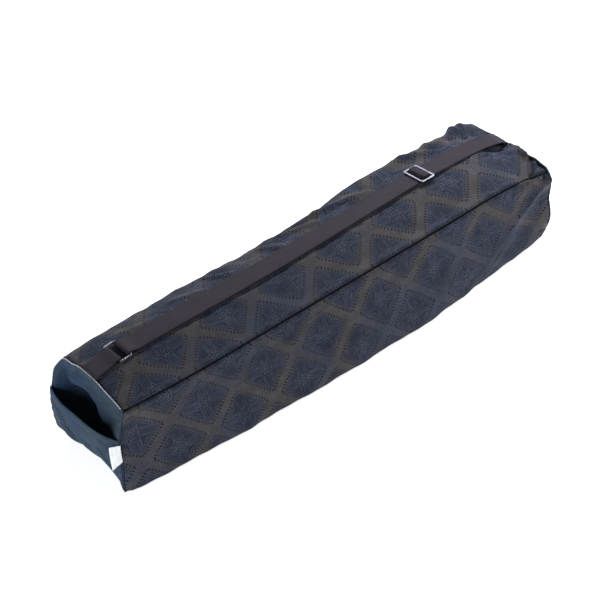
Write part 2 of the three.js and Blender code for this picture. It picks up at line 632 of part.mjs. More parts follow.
const bag = new THREE.Group();
bag.name = 'yoga_mat_bag';
bag.add(
  piece('main_panel', mainPanel(), PRINTED_CLOTH, 0.9),
  piece('zip_tape', zipTape(), 0x17171a, 0.85),
  piece('end_panel_near', endPanel(0, -1, NEAR_HOLLOWS), 0x2f3a44, 0.9),
  piece('end_panel_far', endPanel(1, 1, FAR_HOLLOWS), 0x2f3a44, 0.9),
  piece('pocket_panel', pocketPanel(), 0x36434f, 0.9),
  piece('side_label', sideLabel(), 0xf2f1ef, 0.8),
  piece('strap_tab', strapTab(), WEBBING_COLOR, 0.85),
  piece('strap_ring', strapRing(), SILVER, 0.3, 1),
  piece('shoulder_strap', shoulderStrap(), WEBBING_COLOR, 0.85),
  piece('strap_slider', strapSlider(), SILVER, 0.3, 1),
);

export default bag;
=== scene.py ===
"""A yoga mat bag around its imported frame: printed cloth, end pocket, webbing, ring, slider and label."""

import math

import bpy
import numpy as np
from mathutils import Matrix


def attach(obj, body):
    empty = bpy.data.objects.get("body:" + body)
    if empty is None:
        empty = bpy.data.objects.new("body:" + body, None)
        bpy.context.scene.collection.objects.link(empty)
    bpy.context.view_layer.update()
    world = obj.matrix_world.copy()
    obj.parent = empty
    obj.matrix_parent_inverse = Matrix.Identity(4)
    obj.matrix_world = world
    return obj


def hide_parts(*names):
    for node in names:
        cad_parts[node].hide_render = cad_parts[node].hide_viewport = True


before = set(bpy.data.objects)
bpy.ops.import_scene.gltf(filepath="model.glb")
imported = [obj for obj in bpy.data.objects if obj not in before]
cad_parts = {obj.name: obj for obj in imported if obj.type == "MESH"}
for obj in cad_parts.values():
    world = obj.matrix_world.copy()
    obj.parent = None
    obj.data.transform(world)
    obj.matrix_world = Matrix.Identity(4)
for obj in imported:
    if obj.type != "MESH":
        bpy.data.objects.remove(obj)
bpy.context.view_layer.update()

MM = 0.001

# The bag's named sizes, in millimetres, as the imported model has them
BAG_LENGTH, END_WIDTH, END_HEIGHT = 697.0, 123.0, 131.0
CLOTH, SEAM_GAP = 1.8, 0.45
POCKET_HEIGHT, POCKET_GAPE, POCKET_FULLNESS, POCKET_WAVE, POCKET_GAP = 78.0, 11.0, 0.7, 0.12, 0.9
LABEL_WIDTH, LABEL_HEIGHT, LABEL_FROM_HEM = 14.0, 23.0, 7.0
STRAP_WIDTH, WEBBING, TAB_LENGTH = 27.0, 1.4, 36.0
RING_LENGTH, RING_WIRE = 19.0, 2.8
SLIDER_FROM_RING, SLIDER_LENGTH, SLIDER_BAR, SLIDER_THICKNESS = 488.0, 24.0, 3.2, 1.8
METAL_GAP, SIDE_CLEARANCE = 0.35, 0.9
BOW_REACH, CROWN_BOW = 0.125, -0.115
FRONT_CORNER, BACK_CORNER, CROWN_FROM = 0.245, 0.475, 0.66

# The strap bridges dents: how far along the bag its bed looks, and how much it may sag by the square of that
REACH, BRIDGE = (-48, -36, -24, -12, 0, 12, 24, 36, 48), 0.0016

# The end's outline from the zip down the front, under the bag, up the back and over the crown
OUTLINE_COLUMNS = ("across", "up", "front", "back", "crown", "lean", "tuck", "near", "far")
OUTLINE = (
    (-0.415, 0.93, 0.35, 0, 0.95, 1, 0, -0.035, -0.055),
    (-0.4, 0.75, 0.75, 0, 0.3, 0.8, 0, -0.05, 0.01),
    (-0.39, 0.52, 1, 0, 0, 0.4, 0, -0.06, 0.07),
    (-0.437, 0.25, 1.05, 0, 0, 0, 0.35, -0.05, 0.085),
    (-0.49, 0.045, 0.85, 0, 0, 0, 1, -0.06, 0.08),
    (-0.425, 0, 0.7, 0, 0, 0, 1.1, -0.005, 0.045),
    (-0.24, 0, 0.35, 0, 0, 0, 0.8, 0.13, 0.02),
    (0.05, 0, 0, 0, 0, 0, 0, 0.18, -0.02),
    (0.427, 0, 0, 0.5, 0, 0, 0, 0.145, 0),
    (0.528, 0.085, 0, 0.8, 0, 0, 0, 0, 0.02),
    (0.57, 0.27, 0, 1, 0, 0, 0, -0.045, 0.02),
    (0.58, 0.52, 0, 1.1, 0, 0, 0, -0.065, 0),
    (0.568, 0.765, 0, 1.05, 0.3, 0, 0, -0.03, -0.05),
    (0.498, 0.92, 0, 0.9, 1.25, 0.5, 0, 0, -0.11),
    (0.345, 0.98, 0, 0.4, 0.75, 0.8, 0, 0, -0.12),
    (0.085, 1.003, 0, 0, 1, 1, 0, -0.005, -0.09),
    (-0.175, 0.985, 0, 0, 1, 1, 0, -0.02, -0.05),
    (-0.33, 0.962, 0, 0, 0.85, 1, 0, -0.03, -0.05),
)

# How the filled bag swells along its length
STATION_COLUMNS = ("along", "front", "back", "crown", "lean", "tuck", "lift")
STATIONS = (
    (0, 0.02, 0, 0, 0, -0.05, 0),
    (0.072, 0.1, 0.025, 0.018, 0, -0.03, 0),
    (0.172, 0.145, 0.045, 0.028, 0.004, 0, 0),
    (0.36, 0.18, 0.065, 0.045, 0.025, 0, 0),
    (0.574, 0.17, 0.095, 0.06, 0.035, 0, 0),
    (0.746, 0.15, 0.125, 0.075, 0.04, 0.02, 0),
    (0.846, 0.12, 0.12, 0.08, 0.045, 0.055, 0),
    (0.93, 0.1, 0.1, 0.065, 0.035, 0.105, 0.02),
    (1, 0.085, 0.04, 0.03, 0.01, 0.14, 0.05),
)

# Folds of the long panel: the two ends of a line along the bag, then its ends around the bag, all as
# shares, and the fold's depth and width as shares of END_WIDTH
FOLDS = (
    (0.995, 0.83, 0.03, 0.215, -0.022, 0.06), (0.985, 0.93, 0.11, 0.18, 0.05, 0.17),
    (0.935, 0.99, 0.995, 0.925, 0.055, 0.07), (0.965, 0.995, 1, 0.985, -0.015, 0.06),
    (0.865, 0.88, 0.79, 0.74, 0.012, 0.05), (0.9, 0.92, 0.79, 0.74, 0.014, 0.05),
    (0.95, 0.96, 0.79, 0.74, 0.018, 0.06), (0.945, 0.985, 0.86, 0.86, 0.045, 0.12),
    (0.15, 0.38, 0.77, 0.785, 0.012, 0.06), (0.35, 0.62, 0.755, 0.79, 0.014, 0.06),
    (0.6, 0.8, 0.755, 0.79, 0.016, 0.06), (0, 0.05, 0.81, 0.82, 0.016, 0.07),
    (0.87, 0.955, 0.735, 0.73, -0.065, 0.13), (0.012, 0.06, 0.725, 0.725, -0.03, 0.08),
    (0.02, 0.12, 0.935, 0.93, 0.015, 0.1), (0.08, 0.6, 0.045, 0.045, 0.01, 0.05),
    (0.27, 0.36, 0.1, 0.19, 0.012, 0.12), (0.62, 0.68, 0.08, 0.17, 0.01, 0.12),
)

# Hollows of the end panels: a line's ends across, its ends up, its depth and its width, as shares
NEAR_HOLLOWS = (
    (0.337, 0.337, 0.44, 0.44, 0.17, 0.27), (0.24, 0.4, 0.8, 0.78, -0.05, 0.12),
    (0.037, 0.037, 0.46, 0.46, 0.06, 0.38), (0.118, -0.037, 0.82, 0.5, -0.035, 0.07),
)
FAR_HOLLOWS = (
    (0.06, 0.06, 0.5, 0.5, -0.055, 0.45), (-0.25, -0.1, 0.2, 0.35, 0.035, 0.14),
)

# Small folds of the end panels: a line's ends across, its ends up, its depth and its width, in millimetres
NEAR_SMALL = (
    (60, 56, 106, 70, 15.0, 11), (34, 50, 112, 88, -4.0, 9), (30, 62, 112, 92, -2.0, 7),
    (20, 52, 96, 76, 2.2, 6), (-20, 5, 104, 70, -1.6, 6), (-34, -12, 96, 60, 1.8, 6),
    (-45, -25, 88, 40, -1.4, 6), (40, 60, 60, 48, 2.0, 8),
)
FAR_SMALL = (
    (-35, -5, 100, 70, 1.6, 8), (25, 50, 95, 60, -1.4, 9), (-20, 20, 30, 45, 1.2, 9),
)

# The middle of the strap, a share of END_WIDTH across at each share of the length
STRAP_COLUMNS = ("along", "across")
STRAP_LINE = (
    (0, 0.1), (0.06, 0.14), (0.12, 0.152), (0.36, 0.155), (0.5, 0.175),
    (0.66, 0.215), (0.815, 0.245), (0.92, 0.245), (1, 0.215),
)


def column(table, names, key, along):
    """A column of a table at a share of the length, on a smooth curve through its rows."""
    rows = np.array(table, float)
    at, value = rows[:, 0], rows[:, names.index(key)]
    last = len(at) - 1
    before, after = np.maximum(np.arange(last + 1) - 1, 0), np.minimum(np.arange(last + 1) + 1, last)
    slope = (value[after] - value[before]) / (at[after] - at[before])
    row = min(max(int(np.searchsorted(at, along)) - 1, 0), last - 1)
    span = at[row + 1] - at[row]
    t = min(max((along - at[row]) / span, 0.0), 1.0)
    eased = value[row] + (value[row + 1] - value[row]) * t * t * (3 - 2 * t)
    return eased + slope[row] * span * t * (1 - t) ** 2 - slope[row + 1] * span * t * t * (1 - t)


def pushed_in(folds, a, b, span_a, span_b, width=END_WIDTH):
    """How far points are pushed in by a table of folds, each a soft trough about a line."""
    depth = np.zeros(np.broadcast(a, b).shape)
    for a0, a1, b0, b1, deep, wide in folds:
        from_a, from_b = a0 * span_a, b0 * span_b
        line_a, line_b = a1 * span_a - from_a, b1 * span_b - from_b
        long = line_a ** 2 + line_b ** 2
        share = ((a - from_a) * line_a + (b - from_b) * line_b) / long if long > 0 else 0 * a
        near = np.clip(share, 0, 1)
        away = np.hypot(a - from_a - near * line_a, b - from_b - near * line_b)
        depth = depth + deep * width * np.exp(-(away / (wide * width)) ** 2)
    return depth


def bell(at, middle, width):
    """A soft swell, 1 at its middle."""
    return np.exp(-((at - middle) / width) ** 2)


def wave(at, length, phase=0.0):
    """A sine wave of a given length."""
    return np.sin(2 * math.pi * at / length + phase)


def ripple(at, length, swing, drift, phase=0.0):
    """A wave whose crests wander on a longer one, so that it doesn't repeat evenly."""
    return wave(at, length, swing * wave(at, drift, phase))


def between(a, b, share):
    """A value at a share of the way from a to b."""
    return a + (b - a) * share


def unit(rows):
    """The rows of an array, each at length 1."""
    return rows / np.linalg.norm(rows, axis=1)[:, None]


def travelled(points):
    """How far each point of a path lies along it."""
    return np.concatenate([[0], np.cumsum(np.linalg.norm(np.diff(points, axis=0), axis=1))])


def bow_at(away):
    """How much an end's bow counts, at a share of the length away from it."""
    return max(0.0, 1 - away / BOW_REACH) ** 2


def ring_at(along):
    """The outline's own points at a share of the length."""
    s = {key: column(STATIONS, STATION_COLUMNS, key, along) for key in STATION_COLUMNS[1:]}
    p = dict(zip(OUTLINE_COLUMNS, np.array(OUTLINE, float).T))
    x = (along - 0.5) * BAG_LENGTH + (p["near"] * bow_at(along) + p["far"] * bow_at(1 - along)) * END_WIDTH
    y = p["across"] - p["front"] * s["front"] + p["back"] * s["back"]
    y = y + p["lean"] * s["lean"] + p["tuck"] * s["tuck"]
    z = p["up"] + p["crown"] * s["crown"] + p["tuck"] * s["lift"]
    return np.stack([x, END_WIDTH * y, END_HEIGHT * z], axis=1)


def closed_curve(ring, t):
    """A closed centripetal curve through the ring's points, at shares t of its parameter."""
    count = len(ring)
    at = (t % 1.0) * count
    i = np.floor(at).astype(int) % count
    w = (at - np.floor(at))[:, None]
    p0, p1, p2, p3 = (ring[(i + k) % count] for k in (-1, 0, 1, 2))
    d0, d1, d2 = (np.sqrt(np.linalg.norm(b - a, axis=1))[:, None] for a, b in ((p0, p1), (p1, p2), (p2, p3)))
    t1 = ((p1 - p0) / d0 - (p2 - p0) / (d0 + d1) + (p2 - p1) / d1) * d1
    t2 = ((p2 - p1) / d1 - (p3 - p1) / (d1 + d2) + (p3 - p2) / d2) * d1
    return p1 + t1 * w + (3 * (p2 - p1) - 2 * t1 - t2) * w ** 2 + (2 * (p1 - p2) + t1 + t2) * w ** 3


CURVE_STEPS = 961
outlines = {}


def outline(along, around):
    """Points of the bag's outline at one share of the length, and its girth there."""
    if along not in outlines:
        ring = ring_at(along)
        t = np.linspace(0, 1, CURVE_STEPS)
        outlines[along] = (ring, t, travelled(closed_curve(ring, t)))
    ring, t, travel = outlines[along]
    share = np.interp(np.asarray(around, float) % 1.0, travel / travel[-1], t)
    return closed_curve(ring, share), travel[-1]


# The girth halfway along, and the share of the girth over which the cloth's direction is measured
MIDDLE_GIRTH = outline(0.5, [0.0])[1]
NORMAL_REACH = 2.5 / 240


def cloth(along, around, inset=0.0, fine=False):
    """Points of the long panel at one share of the length, for an array of shares round it."""
    around = np.asarray(around, float)
    point = outline(along, around)[0]
    ahead = outline(along, around + NORMAL_REACH)[0]
    behind = outline(along, around - NORMAL_REACH)[0]
    inward = unit(np.stack([0 * around, behind[:, 2] - ahead[:, 2], ahead[:, 1] - behind[:, 1]], axis=1))
    wrapped = np.where(around < 0.5, around, around - 1)
    a = np.full_like(around, along * BAG_LENGTH)
    dent = sum(
        pushed_in(FOLDS, a, turn * MIDDLE_GIRTH, BAG_LENGTH, MIDDLE_GIRTH) for turn in (wrapped, wrapped + 1)
    )
    turned = wrapped * MIDDLE_GIRTH
    dent = dent - standing(a, turned) - far_crease(a, turned)
    if fine:
        dent = dent - relief(a, turned)
    point = point + inward * (dent + inset)[:, None]
    point[:, 2] = np.maximum(point[:, 2], inset)
    return point


# Small folds of the long panel: a line's ends along the bag, its ends down from the zip, its depth and its
# width, in millimetres; a depth below 0 is a ridge
SMALL_FOLDS = (
    (396, 472, -122.5, -103, -4.4, 4.2), (404, 474, -134, -113, 2.4, 5),
    (333, 382, -120, -103.5, -4.2, 4), (345, 390, -131, -113, 2.2, 5), (296, 318, -118, -97, -3.8, 4),
    (306, 330, -124, -104, 1.6, 4.5), (211, 236, -121, -101, -3.2, 4), (224, 250, -124, -106, 1.4, 5),
    (153, 193, -112, -99, -2.2, 4), (60, 110, -108, -100, -1.6, 5), (552, 617, -126, -106, -3.6, 4.2),
    (560, 612, -134, -117, 1.8, 5), (580, 610, -112, -102, -1.6, 4), (500, 560, -121, -104, -1.6, 5),
    (200, 420, -165, -150, 1.2, 9), (120, 128, -190, -140, 1.3, 9), (186, 198, -190, -140, 1.5, 9),
    (262, 270, -190, -140, 1.2, 10), (352, 366, -195, -140, 1.3, 10), (446, 455, -195, -140, 1.1, 9),
    (661, 649, -138, -112, 2.6, 4), (679, 664, -136, -114, 2.0, 4), (670, 657, -137, -114, -1.0, 3.5),
    (696, 668, -34, -2, 6.0, 4.2), (697, 688, -16, 10, 3.4, 9), (695, 696, -72, -40, -4.2, 8),
    (642, 674, -88, -66, 4.5, 6.5), (622, 686, -70, -52, -2.4, 5), (150, 190, 60, 120, 1.4, 10),
    (168, 214, 40, 92, -1.0, 8), (420, 470, 30, 90, 1.4, 12), (300, 340, 70, 30, -1.4, 9),
    (560, 600, 30, 70, 1.6, 9), (372, 398, 96, 40, 1.3, 11), (500, 528, 100, 56, -1.3, 10),
    (246, 262, 14, 60, 1.2, 9), (30, 14, 20, 70, 1.2, 8), (70, 98, -62, -20, 1.1, 9),
    (236, 262, -70, -22, 1.1, 10), (338, 318, -60, -16, -1.0, 9), (452, 474, -58, -14, 1.2, 9),
    (546, 524, -50, -10, -1.1, 9),
)

# How far the cloth stands out along its back crown and at its front foot, as pairs of the place along the
# bag and the height, in millimetres; then where each lies down from the zip, and its width
BACK_CROWN = (
    (0, 0), (90, 0), (130, -1.6), (175, 0), (216, -3.4), (260, -2), (302, -5.6), (320, -4.2), (337, -5.4),
    (370, -3), (405, -4.4), (455, 3), (480, 2), (524, 0), (554, 2.6), (578, 0.6), (596, -4.4), (614, -6.4),
    (634, -7), (646, -2), (654, 5.2), (664, 7.5), (676, 8), (686, 7.5), (692, 4), (697, 0),
)
FRONT_FOOT = (
    (0, -5.5), (6, -3), (14, -1.6), (23, -1.5), (44, -3), (65, -4.5), (86, -4), (108, -2), (155, -1),
    (192, -2), (249, -4), (288, -2.5), (348, -2.5), (390, -3.5), (432, -2.5), (476, -2.5), (519, -4.5),
    (566, -6.5), (600, -1), (640, 3), (688, 3.5), (697, -1.5),
)
CROWN_AT, CROWN_REACH, FOOT_AT, FOOT_REACH = -130.0, 19.0, 119.0, 22.0


def standing(a, v):
    """The slow swells of the back crown and the front foot, in millimetres outward."""
    crown = np.interp(a, *np.array(BACK_CROWN, float).T) * bell(v, CROWN_AT, CROWN_REACH)
    return crown + np.interp(a, *np.array(FRONT_FOOT, float).T) * bell(v, FOOT_AT, FOOT_REACH)


# The crease of the far lower corner: its ends along the bag and from the zip, its height, its widths on
# either side, the slope of the cloth beyond it and where that slope eases off
CREASE_FROM, CREASE_TO = (698.0, 8.0), (560.0, 114.0)
CREASE_HEIGHT, CREASE_REACH, CREASE_EDGE, CREASE_DROP, CREASE_EASE = 3.0, 6.5, 2.5, 0.26, 22.0


def far_crease(a, v):
    """A pinched edge with the cloth beyond it turned in, in millimetres outward."""
    run_a, run_v = CREASE_TO[0] - CREASE_FROM[0], CREASE_TO[1] - CREASE_FROM[1]
    long = math.hypot(run_a, run_v)
    share = ((a - CREASE_FROM[0]) * run_a + (v - CREASE_FROM[1]) * run_v) / long ** 2
    side = ((a - CREASE_FROM[0]) * run_v - (v - CREASE_FROM[1]) * run_a) / long
    fade = np.clip(share / 0.2, 0, 1) * np.clip((1.2 - share) / 0.4, 0, 1)
    beyond = np.maximum(side, 0)
    ridge = CREASE_HEIGHT * np.exp(-np.where(side > 0, side / CREASE_EDGE, -side / CREASE_REACH))
    return fade * (ridge - CREASE_DROP * beyond / (1 + beyond / CREASE_EASE))


# The zip, in millimetres: its gap, how far its lips are drawn in and how fast that fades, the roll beside
# each lip as height, place and width, and the puckers as height below, height above, place and width
ZIP_OPEN, LIP_DEPTH, LIP_FADE = 2.7, 1.9, 0.7
LIP_ROLL, ROLL_AT, ROLL_WIDTH = 1.0, 3.2, 2.3
PUCKER_BELOW, PUCKER_ABOVE, PUCKER_AT, PUCKER_WIDTH = 0.75, 0.3, 5.0, 6.5


def zip_lips(a, v):
    """The cloth's lips at the zip, drawn in and puckered by the sewing."""
    edge = np.maximum(np.abs(v) - ZIP_OPEN / 2, 0)
    puckers = ripple(a, 13.1, 1.4, 83) + 0.6 * ripple(a, 7.7, 2.1, 57, 1.0)
    lip = -LIP_DEPTH * np.exp(-edge / LIP_FADE) + LIP_ROLL * bell(edge, ROLL_AT, ROLL_WIDTH)
    return lip + np.where(v > 0, PUCKER_BELOW, PUCKER_ABOVE) * puckers * bell(edge, PUCKER_AT, PUCKER_WIDTH)


# The end seams, in millimetres: the gathers' height and reach, the drawn-in edge's depth and reach, and
# the height, place and width of the roll beside it
GATHER, GATHER_REACH, EDGE_DEPTH, EDGE_REACH = 0.55, 11.0, 1.3, 1.7
EDGE_ROLL, EDGE_ROLL_AT, EDGE_ROLL_WIDTH = 0.5, 5.0, 3.5


def end_gathers(v, end):
    """The long panel's edge at an end seam, by the distance from that end."""
    gathers = ripple(v, 15.3, 1.2, 61) + 0.5 * ripple(v, 8.9, 1.7, 43, 0.7)
    drawn = GATHER * gathers * np.exp(-end / GATHER_REACH) - EDGE_DEPTH * np.exp(-end / EDGE_REACH)
    return drawn + EDGE_ROLL * bell(end, EDGE_ROLL_AT, EDGE_ROLL_WIDTH)


# The dent beside the strap, as depth, place and width, and the far crown's rolled-in edge, as depth, reach
# along the bag, place and width, in millimetres
DENT_DEPTH, DENT_AT, DENT_WIDTH = 1.9, 0.7, 1.7
ROLLED_DEPTH, ROLLED_REACH, ROLLED_AT, ROLLED_WIDTH = 2.2, 6.0, -98.0, 18.0


def relief(a, v):
    """The cloth's small forms, in millimetres outward, at a along the bag and v down from the zip."""
    far = BAG_LENGTH - a
    slack = 0.7 * wave(a, 97, 1.1 * wave(v, 131)) * wave(v, 74, 0.8 * wave(a, 160, 2.0))
    slack = slack + 0.4 * wave(a + 0.6 * v, 41, wave(v, 90)) * wave(v - 0.4 * a, 52, 0.4)
    away_from_zip = np.clip(np.abs(v + 5) / 20, 0, 1)
    dent = -DENT_DEPTH * bell(v - np.interp(a, *STRAP_EDGE), DENT_AT, DENT_WIDTH)
    rolled = -ROLLED_DEPTH * np.exp(-far / ROLLED_REACH - ((v - ROLLED_AT) / ROLLED_WIDTH) ** 2)
    seams = end_gathers(v, a) + end_gathers(v, far)
    small = pushed_in(SMALL_FOLDS, a, v, 1, 1, 1.0)
    return zip_lips(a, v) + seams + slack * away_from_zip + dent + rolled - small


def strap_edge():
    """How far from the zip the strap's front edge lies, at places along the bag."""
    around = np.linspace(CROWN_FROM, 0.998, 160)
    places, edges = np.linspace(0, 1, 30), []
    for share in places:
        front = column(STRAP_LINE, STRAP_COLUMNS, "across", share) * END_WIDTH - STRAP_WIDTH / 2
        across = cloth(share, around)[::-1, 1]
        edges.append(np.interp(front, across, (around[::-1] - 1) * MIDDLE_GIRTH))
    return places * BAG_LENGTH, np.array(edges)


STRAP_EDGE = strap_edge()

# The print: its first row's place from the zip, how many rows lie round the bag, and a repeat's length and
# a row's height; how many rows keep that height in front and on top, and the strip above the last one;
# and how far the rows are shifted along the bag, by row
FRONT_ROW, TOP_ROWS, PRINT_PITCH, ROW_PITCH = 3.0, 11, 94.0, 46.5
TRUE_FRONT, TRUE_TOP, TOP_STRIP = 2.75, 1.25, 4.0
SHIFT_ROWS, SHIFT = (0, 4, TOP_ROWS), (52, 89, 89)


def print_place(a, v):
    """Where the printed lattice is at a point of the long panel, in repeats along and around the bag."""
    top = MIDDLE_GIRTH - TOP_STRIP
    turned = np.where(v < 0, v + MIDDLE_GIRTH, v)
    lower = ((0, -FRONT_ROW / ROW_PITCH), (FRONT_ROW, 0), (FRONT_ROW + TRUE_FRONT * ROW_PITCH, TRUE_FRONT))
    upper = ((top - TRUE_TOP * ROW_PITCH, TOP_ROWS - TRUE_TOP), (top, TOP_ROWS))
    end = (top + TOP_STRIP, TOP_ROWS + TOP_STRIP / ROW_PITCH)
    rows = np.interp(turned, *np.array((*lower, *upper, end)).T)
    return (a - np.interp(rows, SHIFT_ROWS, SHIFT)) / PRINT_PITCH, rows / 2


def crowded(count, share):
    """Shares from 0 to 1 that lie closer together at both ends."""
    t = np.linspace(0, 1, count)
    return t - share * np.sin(2 * math.pi * t) / (2 * math.pi)


def quads(rows, columns, offset=0, closed=False):
    """Faces of a grid of points, row by row."""
    i, j = np.meshgrid(np.arange(rows - 1), np.arange(columns if closed else columns - 1), indexing="ij")
    k = (j + 1) % columns
    row, ahead = i * columns, (i + 1) * columns
    return np.stack([row + j, row + k, ahead + k, ahead + j], axis=-1).reshape(-1, 4) + offset


def tube_faces(count, sides, closed=False, start=0):
    """Faces of a tube of rings of points, joined end to end or capped."""
    faces = [tuple(face) for face in quads(count, sides, start, True)]
    last = start + (count - 1) * sides
    if not closed:
        return faces + [tuple(range(start, start + sides))[::-1], tuple(range(last, last + sides))]
    for j in range(sides):
        k = (j + 1) % sides
        faces.append((last + j, last + k, start + k, start + j))
    return faces


def shell_faces(rows, columns):
    """Faces of a closed sheet from its outer and inner grids."""
    count = rows * columns
    outer = quads(rows, columns)
    inner = quads(rows, columns, count)[:, ::-1]
    rim = np.concatenate([
        np.arange(columns),
        np.arange(1, rows) * columns + columns - 1,
        (rows - 1) * columns + np.arange(columns - 2, -1, -1),
        np.arange(rows - 2, 0, -1) * columns,
    ])
    ahead = np.roll(rim, -1)
    edge = np.stack([rim, rim + count, ahead + count, ahead], axis=-1)
    return np.concatenate([outer, inner, edge])


def mesh_piece(name, points, faces, material, replaces=(), uv=None):
    """A smooth mesh from points in millimetres, riding on the root body."""
    points = np.asarray(points, float).reshape(-1, 3) * MM
    mesh = bpy.data.meshes.new(name)
    mesh.from_pydata(points.tolist(), [], [tuple(int(k) for k in face) for face in faces])
    mesh.validate()
    mesh.polygons.foreach_set("use_smooth", [True] * len(mesh.polygons))
    if uv is not None:
        layer = mesh.uv_layers.new(name="cloth")
        index = np.zeros(len(mesh.loops), dtype=np.int32)
        mesh.loops.foreach_get("vertex_index", index)
        layer.data.foreach_set("uv", np.asarray(uv, float).reshape(-1, 2)[index].ravel())
    mesh.materials.append(material)
    mesh.update()
    piece = bpy.data.objects.new(name, mesh)
    bpy.context.scene.collection.objects.link(piece)
    face_outward(piece)
    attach(piece, "root")
    if replaces:
        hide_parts(*replaces)
    return piece


def sheet_piece(name, outer, inner, material, replaces, uv=None):
    """A sheet of cloth from the grids of its two sides, with one side's cloth coordinates."""
    faces = shell_faces(*outer.shape[:2])
    both = None if uv is None else np.stack([uv, uv])
    return mesh_piece(name, np.stack([outer, inner]), faces, material, replaces, both)


def face_outward(piece):
    """Turns the faces round if they enclose a negative volume."""
    mesh = piece.data
    mesh.calc_loop_triangles()
    corners = np.array([[mesh.vertices[k].co[:] for k in t.vertices] for t in mesh.loop_triangles])
    volume = np.einsum("ij,ij->", corners[:, 0], np.cross(corners[:, 1], corners[:, 2]))
    if volume < 0:
        mesh.flip_normals()


def make_node(tree, kind, inputs, **settings):
    """A new node with its settings, and its inputs filled from fields, sockets and plain values."""
    node = tree.nodes.new("ShaderNode" + kind)
    for key, value in settings.items():
        setattr(node, key, value)
    for place, value in inputs.items():
        value = getattr(value, "socket", value)
        if isinstance(value, bpy.types.NodeSocket):
            tree.links.new(value, node.inputs[place])
        else:
            node.inputs[place].default_value = value
    return node


class Field:
    """A number that varies over a surface, made of math nodes."""

    def __init__(self, tree, socket):
        self.tree, self.socket = tree, socket

    def math(self, operation, *others):
        node = make_node(self.tree, "Math", dict(enumerate((self, *others))), operation=operation)
        return Field(self.tree, node.outputs[0])

    def __add__(self, other):
        return self.math("ADD", other)

    def __sub__(self, other):
        return self.math("SUBTRACT", other)

    def __mul__(self, other):
        return self.math("MULTIPLY", other)

    def __truediv__(self, other):
        return self.math("DIVIDE", other)

    def __abs__(self):
        return self.math("ABSOLUTE")

    def above(self, other):
        return self.math("GREATER_THAN", other)

    def fraction(self):
        return self.math("FRACT")

    def ramp(self, low, high):
        """0 below low and 1 above high, smooth between them; turned round where low is above high."""
        rising = float(low < high)
        low, high = min(low, high), max(low, high)
        inputs = {"Value": self, "From Min": low, "From Max": high, "To Min": 1 - rising, "To Max": rising}
        node = make_node(self.tree, "MapRange", inputs, interpolation_type="SMOOTHSTEP")
        return Field(self.tree, node.outputs["Result"])

    def line(self, at, width):
        """1 on a contour of the field and 0 away from it."""
        return abs(self - at).ramp(width, width * 0.35)


class Surface:
    """A material under construction around one principled shader."""

    def __init__(self, name, **settings):
        self.material = bpy.data.materials.new(name)
        self.material.use_nodes = True
        self.tree = self.material.node_tree
        self.shader = self.tree.nodes["Principled BSDF"]
        for key, value in settings.items():
            self.shader.inputs[key.replace("_", " ")].default_value = value

    def node(self, kind, inputs, **settings):
        return make_node(self.tree, kind, inputs, **settings)

    def uv(self):
        """The cloth's own two coordinates."""
        place = self.node("UVMap", {}, uv_map="cloth").outputs["UV"]
        split = self.node("SeparateXYZ", {0: place})
        return Field(self.tree, split.outputs[0]), Field(self.tree, split.outputs[1])

    def noise(self, scale, detail, roughness=0.5, stretch=(1, 1, 1)):
        """Noise over the object's own space."""
        place = self.node("TexCoord", {}).outputs["Object"]
        place = self.node("Mapping", {"Vector": place, "Scale": stretch}).outputs["Vector"]
        inputs = {"Vector": place, "Scale": scale, "Detail": detail, "Roughness": roughness}
        return Field(self.tree, self.node("TexNoise", inputs).outputs["Fac"])

    def mix(self, under, over, share):
        """Colours mixed by a field; each is a colour or an earlier mix."""
        under, over = ((*c, 1.0) if isinstance(c, tuple) else c for c in (under, over))
        return self.node("Mix", {0: share, 6: under, 7: over}, data_type="RGBA").outputs[2]

    def brighten(self, colour, factor):
        """A colour multiplied by a field."""
        return self.node("VectorMath", {0: colour, "Scale": factor}, operation="SCALE").outputs[0]

    def bump(self, height, distance, strength, under=None):
        """A bumped normal, over an earlier one where that is given."""
        inputs = {"Height": height, "Distance": distance, "Strength": strength}
        if under:
            inputs["Normal"] = under
        return self.node("Bump", inputs).outputs["Normal"]

    def finish(self, colour, roughness=None, normal=None):
        """The finished material."""
        for value, key in ((colour, "Base Color"), (roughness, "Roughness"), (normal, "Normal")):
            if value is not None:
                self.tree.links.new(getattr(value, "socket", value), self.shader.inputs[key])
        return self.material


# The print: a half-drop lattice of diamond medallions, in repeats, each with a leaf towards every corner
MEDALLION_WIDE, MEDALLION_HIGH = 0.355, 0.365
FRINGE_TEETH, INNER_BEADS = 5.5, 8
LEAF_MIDDLE, LEAF_EDGE, LEAF_LINE, LEAF_SLIM, LEAF_BOW = 0.54, 0.4, 0.034, 2.0, 3.2
RIM_ROUND, RIM_WAVES, RIM_SWING, BEADS_AT = 1.06, 3, 0.06, 0.705
PETALS, PETAL_DEPTH, FRINGE_FROM, FRINGE_AT = 8, 0.22, 1.06, 1.085

# The drawn lines: the form each follows, its place and width on it, and whether the leaves cover it
LIGHT_LINES = (
    ("leaf", 0.31, 0.03, False), ("leaf", 0.17, 0.03, False), ("waved", 0.9, 0.026, True),
    ("waved", 0.8, 0.024, True), ("petals", 0.36, 0.03, True), ("petals", 0.2, 0.028, False),
    ("heart", 0.08, 0.03, False),
)
DARK_LINES = (
    ("waved", 0.85, 0.03, True), ("petals", 0.28, 0.03, True), ("leaf", 0.355, 0.03, False),
    ("leaf", 0.24, 0.034, False),
)


def drawn(mask, lines, forms, open_field):
    """A mask with a table's lines added to it."""
    for form, place, width, covered in lines:
        line = forms[form].line(place, width)
        mask = mask.math("MAXIMUM", line * open_field if covered else line)
    return mask


